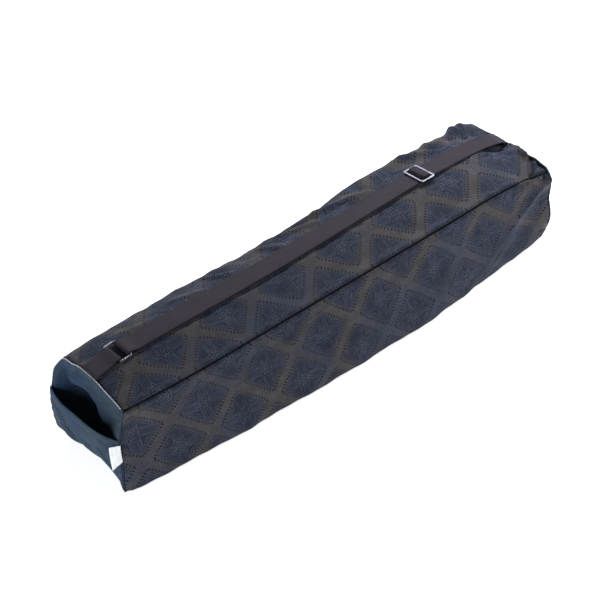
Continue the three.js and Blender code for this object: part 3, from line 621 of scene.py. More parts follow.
def lattice(x, y):
    """Masks of the print at repeat coordinates x, y: field, light lines, dark lines and dark fringe."""
    fold = [((c + 0.5).fraction() - 0.5) for c in (x, y)]
    other = (abs(fold[0]) + abs(fold[1])).above(0.5)
    wide, high = (abs(abs(c) - other * 0.5) for c in fold)
    wide, high = wide / MEDALLION_WIDE, high / MEDALLION_HIGH
    along_edge = wide - high
    teeth = abs((along_edge * FRINGE_TEETH).fraction() - 0.5)
    rim = (wide.math("POWER", RIM_ROUND) + high.math("POWER", RIM_ROUND)).math("POWER", 1 / RIM_ROUND)
    inside = (rim + teeth * 0.1).ramp(1.08, 0.9)
    from_middle = wide.math("MAXIMUM", high) - LEAF_MIDDLE
    leaf = wide.math("MINIMUM", high) * LEAF_SLIM + from_middle * from_middle * LEAF_BOW
    open_field = leaf.ramp(LEAF_EDGE + 0.02, LEAF_EDGE + 0.08)
    waved = rim + (along_edge * (RIM_WAVES * math.pi)).math("COSINE") * RIM_SWING
    heart = (wide * wide + high * high).math("SQRT")
    petals = heart * ((high.math("ARCTAN2", wide) * PETALS).math("COSINE") * PETAL_DEPTH + 1.0)
    forms = {"leaf": leaf, "waved": waved, "petals": petals, "heart": heart}
    light = drawn(leaf.line(LEAF_EDGE, LEAF_LINE), LIGHT_LINES, forms, open_field)
    beads = abs((along_edge * INNER_BEADS).fraction() - 0.5)
    beads = (beads * 0.12 + abs(waved - BEADS_AT)).ramp(0.05, 0.03) * open_field
    dark = drawn(beads, DARK_LINES, forms, open_field)
    fringe = (teeth + (rim - FRINGE_FROM) * 0.8).ramp(0.31, 0.19) * abs(rim - FRINGE_AT).ramp(0.075, 0.05)
    return inside, light * inside, dark * inside, fringe


def printed_cloth(name, ground, field, line, dark, contrast=1.0):
    """Woven cloth with the lattice printed on it, worn unevenly."""
    surface = Surface(name, Sheen_Weight=0.04, Sheen_Roughness=0.3, Specular_IOR_Level=0.08)
    surface.shader.inputs["Sheen Tint"].default_value = COOL_TINT
    x, y = surface.uv()
    inside, light_lines, dark_lines, fringe = lattice(x, y)
    blotch = surface.noise(11, 3)
    cloud = surface.noise(38, 3, 0.6)
    patches = surface.noise(190, 3, 0.7)
    fleck = surface.noise(1100, 2, 0.7)
    worn = cloud.ramp(0.28, 0.6) * 0.55 + 0.45
    faded = tuple(c * k for c, k in zip(ground, FADED))
    colour = surface.mix(ground, faded, blotch.ramp(0.42, 0.6))
    colour = surface.mix(colour, field, inside * (0.94 * contrast))
    colour = surface.mix(colour, dark, dark_lines * worn * (0.7 * contrast))
    colour = surface.mix(colour, line, light_lines * worn * (0.85 * contrast))
    colour = surface.mix(colour, dark, fringe * worn * (0.95 * contrast))
    shade = (blotch * 0.4 + 0.8) * (cloud * 0.8 + 0.6) * (patches * 0.9 + 0.55) * (fleck * 0.9 + 0.55)
    weave = (x * WEAVE_THREADS).math("SINE") * (y * WEAVE_THREADS).math("SINE") * 0.5 + fleck * 0.6
    soft = surface.bump(surface.noise(60, 4, 0.6), 0.0014, 0.4)
    normal = surface.bump(weave, 0.00035, 0.5, soft)
    return surface.finish(surface.brighten(colour, shade), fleck.ramp(0.2, 0.8) * 0.16 + 0.66, normal)


# The tints of the cloth's and the webbing's sheen, and how the ground's colour shifts in its faded patches
COOL_TINT, LILAC_TINT, FADED = (0.72, 0.78, 1.0, 1.0), (0.9, 0.82, 1.0, 1.0), (0.72, 0.84, 1.1)
# The print's colours on the long panel and on the ends, and the cloth's threads in a repeat
GROUND, FIELD = (0.07, 0.067, 0.072), (0.025, 0.029, 0.05)
LINE, DARK = (0.076, 0.09, 0.132), (0.006, 0.007, 0.018)
END_GROUND, END_FIELD, END_LINE = (0.034, 0.055, 0.076), (0.026, 0.041, 0.064), (0.054, 0.077, 0.105)
THREAD_PITCH = 1.1
WEAVE_THREADS = 2 * math.pi * PRINT_PITCH / THREAD_PITCH
END_CONTRAST = 0.6

# The webbing's colours, the pitch of its ribs and of its picks, and where its selvedges begin and end
# across it, in millimetres from its middle
WEBBING_DARK, WEBBING_LIGHT, SELVEDGE = (0.028, 0.023, 0.031), (0.062, 0.052, 0.068), (0.024, 0.02, 0.028)
RIB_PITCH, PICK_PITCH, SELVEDGE_FROM, SELVEDGE_TO = 1.5, 1.1, 10.8, 12.4


def webbing_cloth():
    """Matte charcoal webbing with fine lengthwise ribs."""
    surface = Surface("webbing", Sheen_Weight=0.02, Sheen_Roughness=0.5, Specular_IOR_Level=0.1)
    surface.shader.inputs["Sheen Tint"].default_value = LILAC_TINT
    along, across = surface.uv()
    ribs = (across * (2 * math.pi / RIB_PITCH)).math("SINE")
    picks = (along * (2 * math.pi / PICK_PITCH) + ribs * 1.4).math("SINE")
    selvedge = abs(across - STRAP_WIDTH / 2).ramp(SELVEDGE_FROM, SELVEDGE_TO)
    fuzz = surface.noise(1500, 2, 0.7)
    patches = surface.noise(35, 3)
    colour = surface.mix(WEBBING_DARK, WEBBING_LIGHT, ribs * 0.35 + picks * 0.15 + fuzz * 0.6)
    colour = surface.mix(colour, SELVEDGE, selvedge * 0.55)
    colour = surface.brighten(colour, patches * 0.4 + 0.8)
    normal = surface.bump(ribs * 0.6 + picks * 0.4 + fuzz * 0.5, 0.0004, 0.6)
    return surface.finish(colour, fuzz * 0.2 + 0.68, normal)


METAL_LIGHT, METAL_DARK = (0.19, 0.185, 0.22), (0.125, 0.12, 0.15)


def plated_metal():
    """Satin plated metal with a lilac cast and fine handling marks."""
    surface = Surface("plated_metal", Metallic=1.0)
    marks = surface.noise(420, 3, 0.7, (1, 6, 1))
    cloud = surface.noise(90, 2)
    colour = surface.mix(METAL_LIGHT, METAL_DARK, cloud.ramp(0.4, 0.7))
    return surface.finish(colour, marks.ramp(0.3, 0.8) * 0.16 + 0.36, surface.bump(marks, 0.00004, 0.15))


# The plain fabrics: a light and a dark colour, and how far the grain is drawn out
LABEL_WHITE, LABEL_SHADE, LABEL_GRAIN = (0.95, 0.95, 0.94), (0.84, 0.84, 0.84), (1, 1, 4)
THREAD_LIGHT, THREAD_DARK = (0.7, 0.72, 0.72), (0.5, 0.52, 0.53)
# The zip tape is black, and its colours are darker still: painted shade that stands in for the shadow down
# in the zip's groove
SHADED_TAPE_LIGHT, SHADED_TAPE_DARK = (0.009, 0.009, 0.013), (0.004, 0.004, 0.007)
PLAIN_GRAIN = (1, 1, 1)


def ribbon(name, light, dark, thread):
    """A plain narrow fabric, such as a label, a tape or sewing thread."""
    surface = Surface(name, Sheen_Weight=0.02, Specular_IOR_Level=0.08)
    weave = surface.noise(1400, 2, 0.6, thread)
    soft = surface.noise(120, 3)
    colour = surface.mix(dark, light, weave.ramp(0.3, 0.6))
    colour = surface.brighten(colour, soft * 0.3 + 0.85)
    return surface.finish(colour, weave * 0.2 + 0.62, surface.bump(weave, 0.0003, 0.5))


FLOOR_LIGHT, FLOOR_DARK, FLOOR_GLOW = (0.93, 0.93, 0.93), (0.9, 0.9, 0.905), 0.72


def plain_floor():
    """A plain pale floor that glows a little, so that shadows on it stay faint."""
    surface = Surface("floor", Roughness=0.95, Specular_IOR_Level=0.0, Emission_Strength=FLOOR_GLOW)
    surface.shader.inputs["Emission Color"].default_value = WHITE
    return surface.finish(surface.mix(FLOOR_DARK, FLOOR_LIGHT, surface.noise(6, 2)))


# The long panel's points along and around, and how many stand in a millimetre at places round the bag
PANEL_ALONG, PANEL_AROUND = 250, 190
POINT_PLACES = (0, 5, 8, 25, 32, 125, 135, 250, 260, 380, 390, 452, 462, 529, 532, 535.4)
POINT_DENSITY = (1.3, 1.3, 0.6, 0.6, 0.45, 0.45, 0.09, 0.09, 0.15, 0.15, 0.42, 0.42, 0.75, 0.75, 1.3, 1.3)


def spread_around(count):
    """Shares of the way round the bag, closest together by the zip and the strap."""
    fine = np.linspace(0, MIDDLE_GIRTH, 4000)
    filled = np.cumsum(np.interp(fine, POINT_PLACES, POINT_DENSITY))
    filled = (filled - filled[0]) / (filled[-1] - filled[0])
    return np.interp(np.linspace(0, 1, count), filled, fine) / MIDDLE_GIRTH


def long_panel(material):
    """The printed cloth wrapped round the bag, from one lip of the zip to the other."""
    lip = ZIP_OPEN / 2 / MIDDLE_GIRTH
    around = lip + (1 - 2 * lip) * spread_around(PANEL_AROUND)
    along = crowded(PANEL_ALONG, 0.6)
    outer = np.array([cloth(share, around, 0.0, True) for share in along])
    inner = np.array([cloth(share, around, CLOTH, True) for share in along])
    wrapped = np.where(around < 0.5, around, around - 1) * MIDDLE_GIRTH
    a, v = np.meshgrid(along * BAG_LENGTH, wrapped, indexing="ij")
    uv = np.stack(print_place(a, v), axis=-1)
    return sheet_piece("printed_panel", outer, inner, material, ("main_panel",), uv)


# The zip's tape, in millimetres: its points across and how far each stands up as a tooth, its thickness,
# the height of every second and of every other tooth, how far teeth lean out, and rows of points
TAPE_ACROSS = (-11, -6, -1.6, -0.9, 0, 0.9, 1.6, 6, 11)
TOOTH_PROFILE = (0, 0, 0.5, 1, 0.8, 1, 0.5, 0, 0)
TAPE_THICKNESS, HIGH_TOOTH, LOW_TOOTH, TOOTH_LEAN, TAPE_ROWS = 1.2, 0.75, 0.35, 0.6, 700


def zip_coil(material):
    """The tape behind the closed zip, with its row of covered teeth; its near-black colour is partly painted
    shade of the zip's groove.
    """
    across = np.array(TAPE_ACROSS) / MIDDLE_GIRTH
    outer, inner = [], []
    for k, share in enumerate(np.linspace(0.006, 0.992, TAPE_ROWS)):
        row = cloth(share, across, CLOTH + SEAM_GAP)
        tooth = (HIGH_TOOTH if k % 2 else LOW_TOOTH) * np.array(TOOTH_PROFILE)
        row[:, 2] += tooth
        row[:, 1] -= tooth * TOOTH_LEAN
        outer.append(row)
        inner.append(cloth(share, across, CLOTH + SEAM_GAP + TAPE_THICKNESS))
    return sheet_piece("zip_coil", np.array(outer), np.array(inner), material, ("zip_tape",))


# The end panels: how wide they lie flat beside the seam and the share of the way out to there, points round
# and rings, and the gathers' height and the distances over which they rise and fade
SEAM_FLAT = 5.0
FLAT_FROM = 1 - 2 * SEAM_FLAT / END_WIDTH
END_SPOKES, END_RINGS = 220, 46
END_GATHER, END_GATHER_RISE, END_GATHER_REACH = 0.7, 4.0, 6.0


def end_panel(name, along, outward, hollows, small, material, node):
    """An end panel, dished by its hollows and gathered towards its seam."""
    lip = 1.2 / MIDDLE_GIRTH
    around = lip + (1 - 2 * lip) * np.linspace(0, 1, END_SPOKES)
    rim = cloth(along, around)
    middle = rim.mean(axis=0)
    shares = np.concatenate([[0.02], np.linspace(0, 1, END_RINGS + 1)[1:] ** 0.9])
    ripples = END_GATHER * ripple(around * MIDDLE_GIRTH, 16.7, 1.3, 71)

    def face(offset):
        grid = []
        for share in shares:
            point = middle + (rim - middle) * share
            inside = min(share / FLAT_FROM, 1)
            push = pushed_in(hollows, point[:, 1], point[:, 2], END_WIDTH, END_HEIGHT)
            push = push + pushed_in(small, point[:, 1], point[:, 2], 1, 1, 1.0)
            from_seam = (1 - share) * END_WIDTH / 2
            gathers = ripples * from_seam / END_GATHER_RISE * math.exp(-from_seam / END_GATHER_REACH)
            dish = offset - push * (1 - inside ** 5) + gathers
            point[:, 0] = middle[0] + (rim[:, 0] - middle[0]) * inside ** 2 + outward * dish
            grid.append(point)
        return np.array(grid)

    outer, inner = face(SEAM_GAP + CLOTH), face(SEAM_GAP)
    rows, columns = outer.shape[:2]
    points = np.stack([outer, inner]).reshape(-1, 3)
    count = rows * columns
    last = (rows - 1) * columns + np.arange(columns)
    ahead = np.roll(last, -1)
    rim_faces = np.stack([last, last + count, ahead + count, ahead], axis=-1)
    hub = np.arange(columns)
    inside_faces = quads(rows, columns, count, True)[:, ::-1]
    faces = np.concatenate([quads(rows, columns, 0, True), inside_faces, rim_faces])
    faces = [tuple(face) for face in faces] + [tuple(hub[::-1]), tuple(hub + count)]
    return mesh_piece(name, points, faces, material, (node,), points[:, 1:] / PRINT_PITCH)


def seam_around(height, corner, side):
    """Where the near seam reaches a height, as a share of the way round, from a lower corner."""
    around = corner
    while cloth(0.0, [around])[0, 2] < height:
        around -= side * 0.002
    return around


FRONT_HEM = seam_around(POCKET_HEIGHT, FRONT_CORNER, 1)
BACK_HEM = seam_around(POCKET_HEIGHT, BACK_CORNER, -1)


# How much of the pocket's gap is left at its side seams, and how soon it opens away from them
POCKET_CLOSE, POCKET_OPENS = 0.25, 0.4


def pocket_point(s, t, offset):
    """Points of the pocket at an array of shares s across, at one share t of its height."""
    s = np.asarray(s, float)

    def straight(share):
        """Points in line between the pocket's side edges, at a share of its height."""
        front = cloth(0.0, [between(FRONT_CORNER, FRONT_HEM, share)])[0]
        back = cloth(0.0, [between(BACK_CORNER, BACK_HEM, share)])[0]
        return between(front, back, s[:, None])

    sole = cloth(0.0, between(FRONT_CORNER, BACK_CORNER, s))
    point = straight(t) + (sole - straight(0)) * (1 - t)
    waved = 1 + POCKET_WAVE * np.sin(3 * math.pi * s) * t
    arch = np.sin(math.pi * s).clip(0)
    gape = POCKET_GAPE * arch ** POCKET_FULLNESS * t ** POCKET_FULLNESS * waved
    close = POCKET_CLOSE + (1 - POCKET_CLOSE) * arch ** POCKET_OPENS
    point[:, 0] -= SEAM_GAP + CLOTH + gape + (POCKET_GAP + offset) * close
    return point


# Folds of the pocket: a line's ends across, its ends up and its width as shares, with the depth before the
# width in millimetres
POCKET_FOLDS = (
    (0.1, 0.3, 0.1, 0.62, 2.0, 0.05), (0.34, 0.5, 0.03, 0.5, 1.9, 0.06),
    (0.62, 0.8, 0.1, 0.8, 2.2, 0.05), (0.72, 0.9, 0.06, 0.74, -1.6, 0.06),
    (0.02, 0.2, 0.72, 0.9, 1.4, 0.06), (0.45, 0.75, 0.75, 0.62, -1.2, 0.08),
    (0.5, 0.9, 0.06, 0.09, 4.5, 0.13),
)


# The pocket's hem as shares of its height: where it is doubled, and its stitched groove's place and width;
# the doubling's thickness and the groove's depth, in millimetres
HEM_FROM, HEM_TO, GROOVE_AT, GROOVE_WIDTH = 0.86, 0.985, 0.855, 0.012
HEM_THICKNESS, GROOVE_DEPTH = 0.55, 0.5
# The pocket's width and its walls' places, in millimetres, and its points up and across
POCKET_ACROSS, POCKET_OUTSIDE, POCKET_INSIDE, POCKET_PRESS = 120.0, CLOTH - 0.5, 0.2, 0.8
POCKET_ROWS, POCKET_COLUMNS = 84, 150


def end_pocket(material):
    """The pocket's outer wall with its turned hem."""
    across, up = crowded(POCKET_COLUMNS, 0.4), np.linspace(0, 1, POCKET_ROWS)
    s, t = np.meshgrid(across, up)
    height = t * POCKET_HEIGHT
    hem = HEM_THICKNESS * ((t > HEM_FROM) & (t < HEM_TO)) - GROOVE_DEPTH * bell(t, GROOVE_AT, GROOVE_WIDTH)
    gathers = 0.45 * ripple(height, 12, 1.2, 47) * (np.exp(-s * 14) + np.exp(-(1 - s) * 14))
    pressed = gathers - pushed_in(POCKET_FOLDS, s, t, 1, 1, 1.0)
    slack = 0.3 * wave(s * POCKET_ACROSS, 33, wave(height, 60)) * wave(height, 41)
    outer = np.array([pocket_point(across, share, POCKET_OUTSIDE) for share in up])
    inner = np.array([pocket_point(across, share, POCKET_INSIDE) for share in up])
    outer[..., 0] -= hem + pressed + slack
    inner[..., 0] -= np.minimum(pressed, POCKET_PRESS)
    uv = outer[..., 1:] / PRINT_PITCH
    return sheet_piece("end_pocket", outer, inner, material, ("pocket_panel",), uv)


def tube(path, radius, sides, closed=False):
    """Points and faces of a round tube along a path; radius is one number or one for each point."""
    path = np.asarray(path, float)
    count = len(path)
    if closed:
        ahead, behind = np.roll(path, -1, axis=0), np.roll(path, 1, axis=0)
    else:
        ahead, behind = np.vstack([path[1:], path[-1:]]), np.vstack([path[:1], path[:-1]])
    tangent = unit(ahead - behind)
    side = np.cross(tangent, [0.37, 0.21, 0.9])
    for k in range(1, count):
        side[k] = side[k - 1] - tangent[k] * (side[k - 1] @ tangent[k])
        side[k] /= np.linalg.norm(side[k])
    side[0] /= np.linalg.norm(side[0])
    other = np.cross(tangent, side)
    angle = np.linspace(0, 2 * math.pi, sides, endpoint=False)
    radii = np.broadcast_to(radius, count)[:, None, None]
    offset = side[:, None] * np.cos(angle)[None, :, None] + other[:, None] * np.sin(angle)[None, :, None]
    return (path[:, None] + radii * offset).reshape(-1, 3), tube_faces(count, sides, closed)


SEAM_RADIUS, SEAM_SIDES = 0.95, 10


def end_seam(name, along, outward, material):
    """The turned seam between the long panel and an end panel, a soft cord of cloth."""
    around = np.linspace(0.006, 0.994, 320)
    path = cloth(along, around, 0.9)
    path[:, 0] += outward * (SEAM_GAP + 0.6)
    turn = around * MIDDLE_GIRTH
    path[:, 2] = np.maximum(path[:, 2], 1.3)
    radius = SEAM_RADIUS + 0.1 * ripple(turn, 9.7, 1.3, 53) + 0.06 * wave(turn, 5.1)
    points, faces = tube(path, radius, SEAM_SIDES)
    uv = np.repeat(np.stack([turn / PRINT_PITCH, 0 * turn], axis=1), SEAM_SIDES, axis=0)
    return mesh_piece(name, points, faces, material, (), uv)


# The overlock thread, in millimetres: its radius, how far it stands off, its swing and a stitch's length
STITCH_RADIUS, STITCH_RISE, STITCH_SWING, STITCH_PITCH = 0.3, 0.5, 0.6, 3.1


def overlock(material):
    """Off-white sewing thread that shows along the near end's top seam."""
    around = np.linspace(0.992, 0.7, 560)
    path = cloth(0.0, around, -STITCH_RISE)
    turn = around * MIDDLE_GIRTH
    path[:, 0] += STITCH_SWING * wave(turn, STITCH_PITCH) - SEAM_EDGE - STITCH_RISE
    path[:, 2] += STITCH_RADIUS * wave(turn, STITCH_PITCH, 1.4)
    points, faces = tube(path, STITCH_RADIUS, 6)
    return mesh_piece("overlock_thread", points, faces, material)


# The label: where it leaves the seam, in millimetres, its direction at its top and how that turns
# towards its foot, and half its thickness at the edge and beyond it
LABEL_START, LABEL_TOP, LABEL_TURN = (1.5, -1.8, 0), (-0.86, 0.43, -0.04), (0, -0.22, -0.6)
LABEL_EDGE, LABEL_MIDDLE = 0.18, 0.18


def side_label(material):
    """The blank ribbon tab, folded double and sewn into the front seam under the pocket's hem."""
    down, out = np.linspace(0, 1, 26), np.linspace(0, 1, 22)
    reach = out * LABEL_WIDTH
    grid = []
    for t in down:
        height = POCKET_HEIGHT - LABEL_FROM_HEM - t * LABEL_HEIGHT
        root = pocket_point([0.0], height / POCKET_HEIGHT, 0.0)[0] + LABEL_START
        row = root + np.outer(reach, np.array(LABEL_TOP) + t * np.array(LABEL_TURN))
        row[:, 1] -= 0.5 * np.sin(math.pi * out) * math.sin(math.pi * t) + 0.12 * wave(reach, 6, 3 * t)
        grid.append(row)
    from_side, from_end = (np.minimum(share, 1 - share) for share in (out, down))
    edge = np.minimum(from_side[None, :] * LABEL_WIDTH, from_end[:, None] * LABEL_HEIGHT)
    half = (LABEL_EDGE + LABEL_MIDDLE * (1 - np.exp(-edge / 0.8)))[..., None] * np.array([0, 1, 0])
    return sheet_piece("label_ribbon", grid - half, grid + half, material, ("side_label",))


def crown_map():
    """The crown's height over a grid of the floor plan, which the strap's bed is read from."""
    shares = np.linspace(0, 1, 240)
    around = np.linspace(CROWN_FROM, 0.998, 90)
    rows = [cloth(share, around) for share in shares]
    across = np.arange(-12.0, 62.0, 1.0)
    x = np.array([np.interp(across, row[::-1, 1], row[::-1, 0]) for row in rows])
    z = np.array([np.interp(across, row[::-1, 1], row[::-1, 2]) for row in rows])
    along_x = np.arange(-BAG_LENGTH / 2 - 6, BAG_LENGTH / 2 + 6, 1.0)
    heights = np.array([np.interp(along_x, x[:, k], z[:, k]) for k in range(len(across))])
    return along_x, across, heights


CROWN_X, CROWN_Y, CROWN_Z = crown_map()


def crown_height(x, y):
    """The height of the crown over points of the floor plan."""
    i = np.clip((np.asarray(y, float) - CROWN_Y[0]), 0, len(CROWN_Y) - 1.001)
    j = np.clip((np.asarray(x, float) - CROWN_X[0]), 0, len(CROWN_X) - 1.001)
    p, q = np.floor(i).astype(int), np.floor(j).astype(int)
    u, w = i - p, j - q
    low = CROWN_Z[p, q] * (1 - w) + CROWN_Z[p, q + 1] * w
    high = CROWN_Z[p + 1, q] * (1 - w) + CROWN_Z[p + 1, q + 1] * w
    return low * (1 - u) + high * u


def crown_x(along):
    """Where the crown lies along the bag at a share of its length, with the far end's bow."""
    return (along - 0.5) * BAG_LENGTH + CROWN_BOW * END_WIDTH * bow_at(1 - along)


def share_at(x):
    """The share of the length where the crown lies over x."""
    along = x / BAG_LENGTH + 0.5
    for _ in range(8):
        along = min(max(along + (x - crown_x(along)) / BAG_LENGTH, 0.0), 1.0)
    return along


beds = {}


def strap_bed(x):
    """The strap's middle, its height and its slope across at x."""
    key = round(x * 2) / 2
    if key not in beds:
        middle = column(STRAP_LINE, STRAP_COLUMNS, "across", share_at(key)) * END_WIDTH
        half = STRAP_WIDTH / 2
        reach = np.array([r for r in REACH if r == 0 or crown_x(0) <= key + r <= crown_x(1)], float)

        def over(y):
            """The height of the bridged crown."""
            return float(np.max(crown_height(key + reach, y + 0 * reach) - BRIDGE * reach ** 2))

        front, back, rise = over(middle - half), over(middle + half), 0
        for s in (-0.5, 0, 0.5):
            rise = max(rise, over(middle + s * half) - (front + (back - front) * (s + 1) / 2))
        beds[key] = (middle, (front + back) / 2 + rise + SEAM_GAP, (back - front) / STRAP_WIDTH)
    return beds[key]


def smooth_bed(x):
    """The bed averaged over a few millimetres, so that the webbing runs without kinks."""
    near = np.array([strap_bed(x + step) for step in (-6, -4, -2, 0, 2, 4, 6)])
    return near.mean(axis=0)


def on_strap(x, w, h):
    """A point by its place along the bag, across the strap and above its bed."""
    middle, height, slope = smooth_bed(x)
    return np.array([x, middle + w, height + slope * w + h])


# The strap's own places, in millimetres: its two layers, the wire's and the bar's loops, the slider, and
# the length over which a layer rises or settles
NEAR_EDGE = -BAG_LENGTH / 2
SEAM_EDGE = SEAM_GAP + CLOTH
LOWER = WEBBING / 2
UPPER = LOWER + WEBBING + METAL_GAP
WIRE_LOOP = RING_WIRE / 2 + METAL_GAP + WEBBING / 2
WIRE_HEIGHT = LOWER + WIRE_LOOP
RING_NEAR_BAR = NEAR_EDGE + TAB_LENGTH
RING_FAR_BAR = RING_NEAR_BAR + RING_LENGTH - RING_WIRE
EASE, SELVEDGE_RADIUS = 16.0, 0.7
SLIDER_MIDDLE = RING_FAR_BAR + SLIDER_FROM_RING
SLIDER_LOW = UPPER + WEBBING / 2 + METAL_GAP
BAR_LOOP = SLIDER_THICKNESS / 2 + METAL_GAP + WEBBING / 2
BAR_HEIGHT = SLIDER_LOW + SLIDER_THICKNESS / 2
HALF_BAR, BAR_INSET = SLIDER_BAR / 2, 2.2


def arc(x, h, radius, start, end, steps):
    """Points of an arc, by its angles in degrees."""
    angle = np.radians(np.linspace(start, end, steps + 1))
    return np.stack([x + radius * np.cos(angle), h + radius * np.sin(angle)], axis=1)


def run(from_x, to_x, from_h, to_h):
    """Points of a run of webbing that eases from one height to another."""
    steps = max(6, math.ceil(abs(to_x - from_x) / 2.5))
    t = np.linspace(0, 1, steps + 1)
    return np.stack([from_x + (to_x - from_x) * t, from_h + (to_h - from_h) * t * t * (3 - 2 * t)], axis=1)


def webbing(name, path, material, node):
    """A band of webbing along a path of x and height, with rounded selvedges."""
    path = np.asarray(path, float)
    keep = np.concatenate([[True], np.linalg.norm(np.diff(path, axis=0), axis=1) > 1e-3])
    path = path[keep]
    tangent = unit(np.vstack([path[1:], path[-1:]]) - np.vstack([path[:1], path[:-1]]))
    side = np.stack([-tangent[:, 1], tangent[:, 0]], axis=1)
    half, thick = STRAP_WIDTH / 2, WEBBING / 2
    flat = np.linspace(-1, 1, 13) * (half - SELVEDGE_RADIUS)
    bend = np.radians(np.linspace(60, -60, 5))
    right = [(half - SELVEDGE_RADIUS + SELVEDGE_RADIUS * math.cos(b), thick * math.sin(b)) for b in bend]
    left = [(-w, h) for w, h in right[::-1]]
    section = [(w, thick) for w in flat] + right + [(w, -thick) for w in flat[::-1]] + left
    points, uv = [], []
    for place, across, far in zip(path, side, travelled(path)):
        for w, out in section:
            x, h = place + across * out
            points.append(on_strap(x, w, h))
            uv.append((far, w + half))
    return mesh_piece(name, points, tube_faces(len(path), len(section)), material, (node,), uv)


def strap_tab(material):
    """The doubled webbing from the near seam round the ring's near bar."""
    start = NEAR_EDGE - SEAM_EDGE
    path = np.concatenate([
        run(start, RING_NEAR_BAR - EASE, UPPER, UPPER),
        run(RING_NEAR_BAR - EASE, RING_NEAR_BAR, UPPER, WIRE_HEIGHT + WIRE_LOOP)[1:],
        arc(RING_NEAR_BAR, WIRE_HEIGHT, WIRE_LOOP, 90, -90, 16)[1:],
        run(RING_NEAR_BAR, start, LOWER, LOWER)[1:],
    ])
    return webbing("anchor_tab", path, material, "strap_tab")


# How far before its far end the strap turns down over the seam, and how far down it turns
STRAP_TURN, STRAP_DROP = 13.0, 3.6


def shoulder_strap(material):
    """The long webbing: round the slider's bar, under itself round the ring, and back over the slider."""
    end = crown_x(1.0) + SEAM_EDGE
    over = BAR_HEIGHT + BAR_LOOP + WEBBING + METAL_GAP
    clear = HALF_BAR + METAL_GAP + WEBBING + METAL_GAP
    foot = SLIDER_LENGTH / 2 - SLIDER_BAR - METAL_GAP - WEBBING
    settled = SLIDER_MIDDLE + 3 * EASE
    path = np.concatenate([
        [(SLIDER_MIDDLE + HALF_BAR / 2, BAR_HEIGHT - BAR_LOOP)],
        arc(SLIDER_MIDDLE - HALF_BAR, BAR_HEIGHT, BAR_LOOP, 270, 90, 12),
        arc(SLIDER_MIDDLE + HALF_BAR, BAR_HEIGHT, BAR_LOOP, 90, 0, 6),
        arc(SLIDER_MIDDLE + HALF_BAR, LOWER + BAR_LOOP, BAR_LOOP, 0, -90, 6),
        run(SLIDER_MIDDLE + HALF_BAR, RING_FAR_BAR, LOWER, LOWER)[1:],
        arc(RING_FAR_BAR, WIRE_HEIGHT, WIRE_LOOP, 270, 90, 16)[1:],
        run(RING_FAR_BAR, RING_FAR_BAR + EASE, WIRE_HEIGHT + WIRE_LOOP, UPPER)[1:],
        run(RING_FAR_BAR + EASE, SLIDER_MIDDLE - foot, UPPER, UPPER)[1:],
        run(SLIDER_MIDDLE - foot, SLIDER_MIDDLE - clear, UPPER, over)[1:],
        run(SLIDER_MIDDLE - clear, SLIDER_MIDDLE + clear, over, over)[1:],
        run(SLIDER_MIDDLE + clear, SLIDER_MIDDLE + foot, over, UPPER)[1:],
        run(SLIDER_MIDDLE + foot, settled, UPPER, LOWER)[1:],
        run(settled, end - STRAP_TURN, LOWER, LOWER)[1:],
        run(end - STRAP_TURN, end, LOWER, LOWER - STRAP_DROP)[1:],
    ])
    return webbing("strap_webbing", path, material, "shoulder_strap")


def rounded(half_x, half_y, corner, steps):
    """A rectangle with round corners, anticlockwise."""
    parts = []
    for quarter, (sx, sy) in enumerate(((1, 1), (-1, 1), (-1, -1), (1, -1))):
        x, y, start = sx * (half_x - corner), sy * (half_y - corner), quarter * 90
        parts.append(arc(x, y, corner, start, start + 90, steps))
    return np.concatenate(parts)


def wire_ring(material):
    """The rectangular ring, bent from round wire with a closed butt joint."""
    corner = SIDE_CLEARANCE + RING_WIRE / 2
    half_x = (RING_LENGTH - RING_WIRE) / 2
    half_y = STRAP_WIDTH / 2 + SIDE_CLEARANCE + RING_WIRE / 2
    bend = rounded(half_x, half_y, corner, 8)
    path = [on_strap(RING_NEAR_BAR + half_x + x, y, WIRE_HEIGHT) for x, y in bend]
    points, faces = tube(path, RING_WIRE / 2, 20, True)
    return mesh_piece("wire_ring", points, faces, material, ("strap_ring",))


def slider(material):
    """The flat slider: an outer frame and a middle bar with softened edges."""
    half_x = SLIDER_LENGTH / 2
    half_y = STRAP_WIDTH / 2 + SIDE_CLEARANCE + SLIDER_BAR
    ring = rounded(half_x - SLIDER_BAR / 2, half_y - SLIDER_BAR / 2, SLIDER_BAR * 0.7, 8)
    across = np.linspace(-half_y + BAR_INSET, half_y - BAR_INSET, 30)
    around_ring = np.roll(ring, -1, axis=0) - np.roll(ring, 1, axis=0)
    bar = np.stack([0 * across, across], axis=1)
    points, faces = [], []
    section = rounded(SLIDER_BAR / 2, SLIDER_THICKNESS / 2, 0.5, 4)
    for path, tangent, closed in ((ring, around_ring, True), (bar, np.gradient(bar, axis=0), False)):
        tangent = unit(tangent)
        start = len(points)
        for (x, y), (tx, ty) in zip(path, tangent):
            for reach, lift in section:
                place = on_strap(SLIDER_MIDDLE, y - tx * reach, SLIDER_LOW + SLIDER_THICKNESS / 2 + lift)
                points.append((SLIDER_MIDDLE + x + ty * reach, place[1], place[2]))
        faces += tube_faces(len(path), len(section), closed, start)
    return mesh_piece("flat_slider", points, faces, material, ("strap_slider",))


# The camera, fitted to the photograph: angles in degrees, lengths in millimetres
AZIMUTH, ELEVATION, ROLL, DISTANCE, SIDEWAYS, UPWARD = -45.79, 40.97, 4.66, 3299.7, 13.92, 8.39
AIM = np.array([1.5, 4.5, 60.0])
FOCAL_PIXELS, PHOTO_PIXELS, SENSOR = 2700.0, 610.0, 36.0


def level_right(back):
    """The level direction to the right of a camera or lamp whose back faces that way."""
    level = np.cross([0, 0, 1], back)
    return level / np.linalg.norm(level)


def stand(thing, right, up, back, place):
    """Puts a camera or lamp into the scene with its own directions, at its place in metres."""
    thing.matrix_world = Matrix((*zip(right, up, back, place), (0, 0, 0, 1)))
    bpy.context.scene.collection.objects.link(thing)


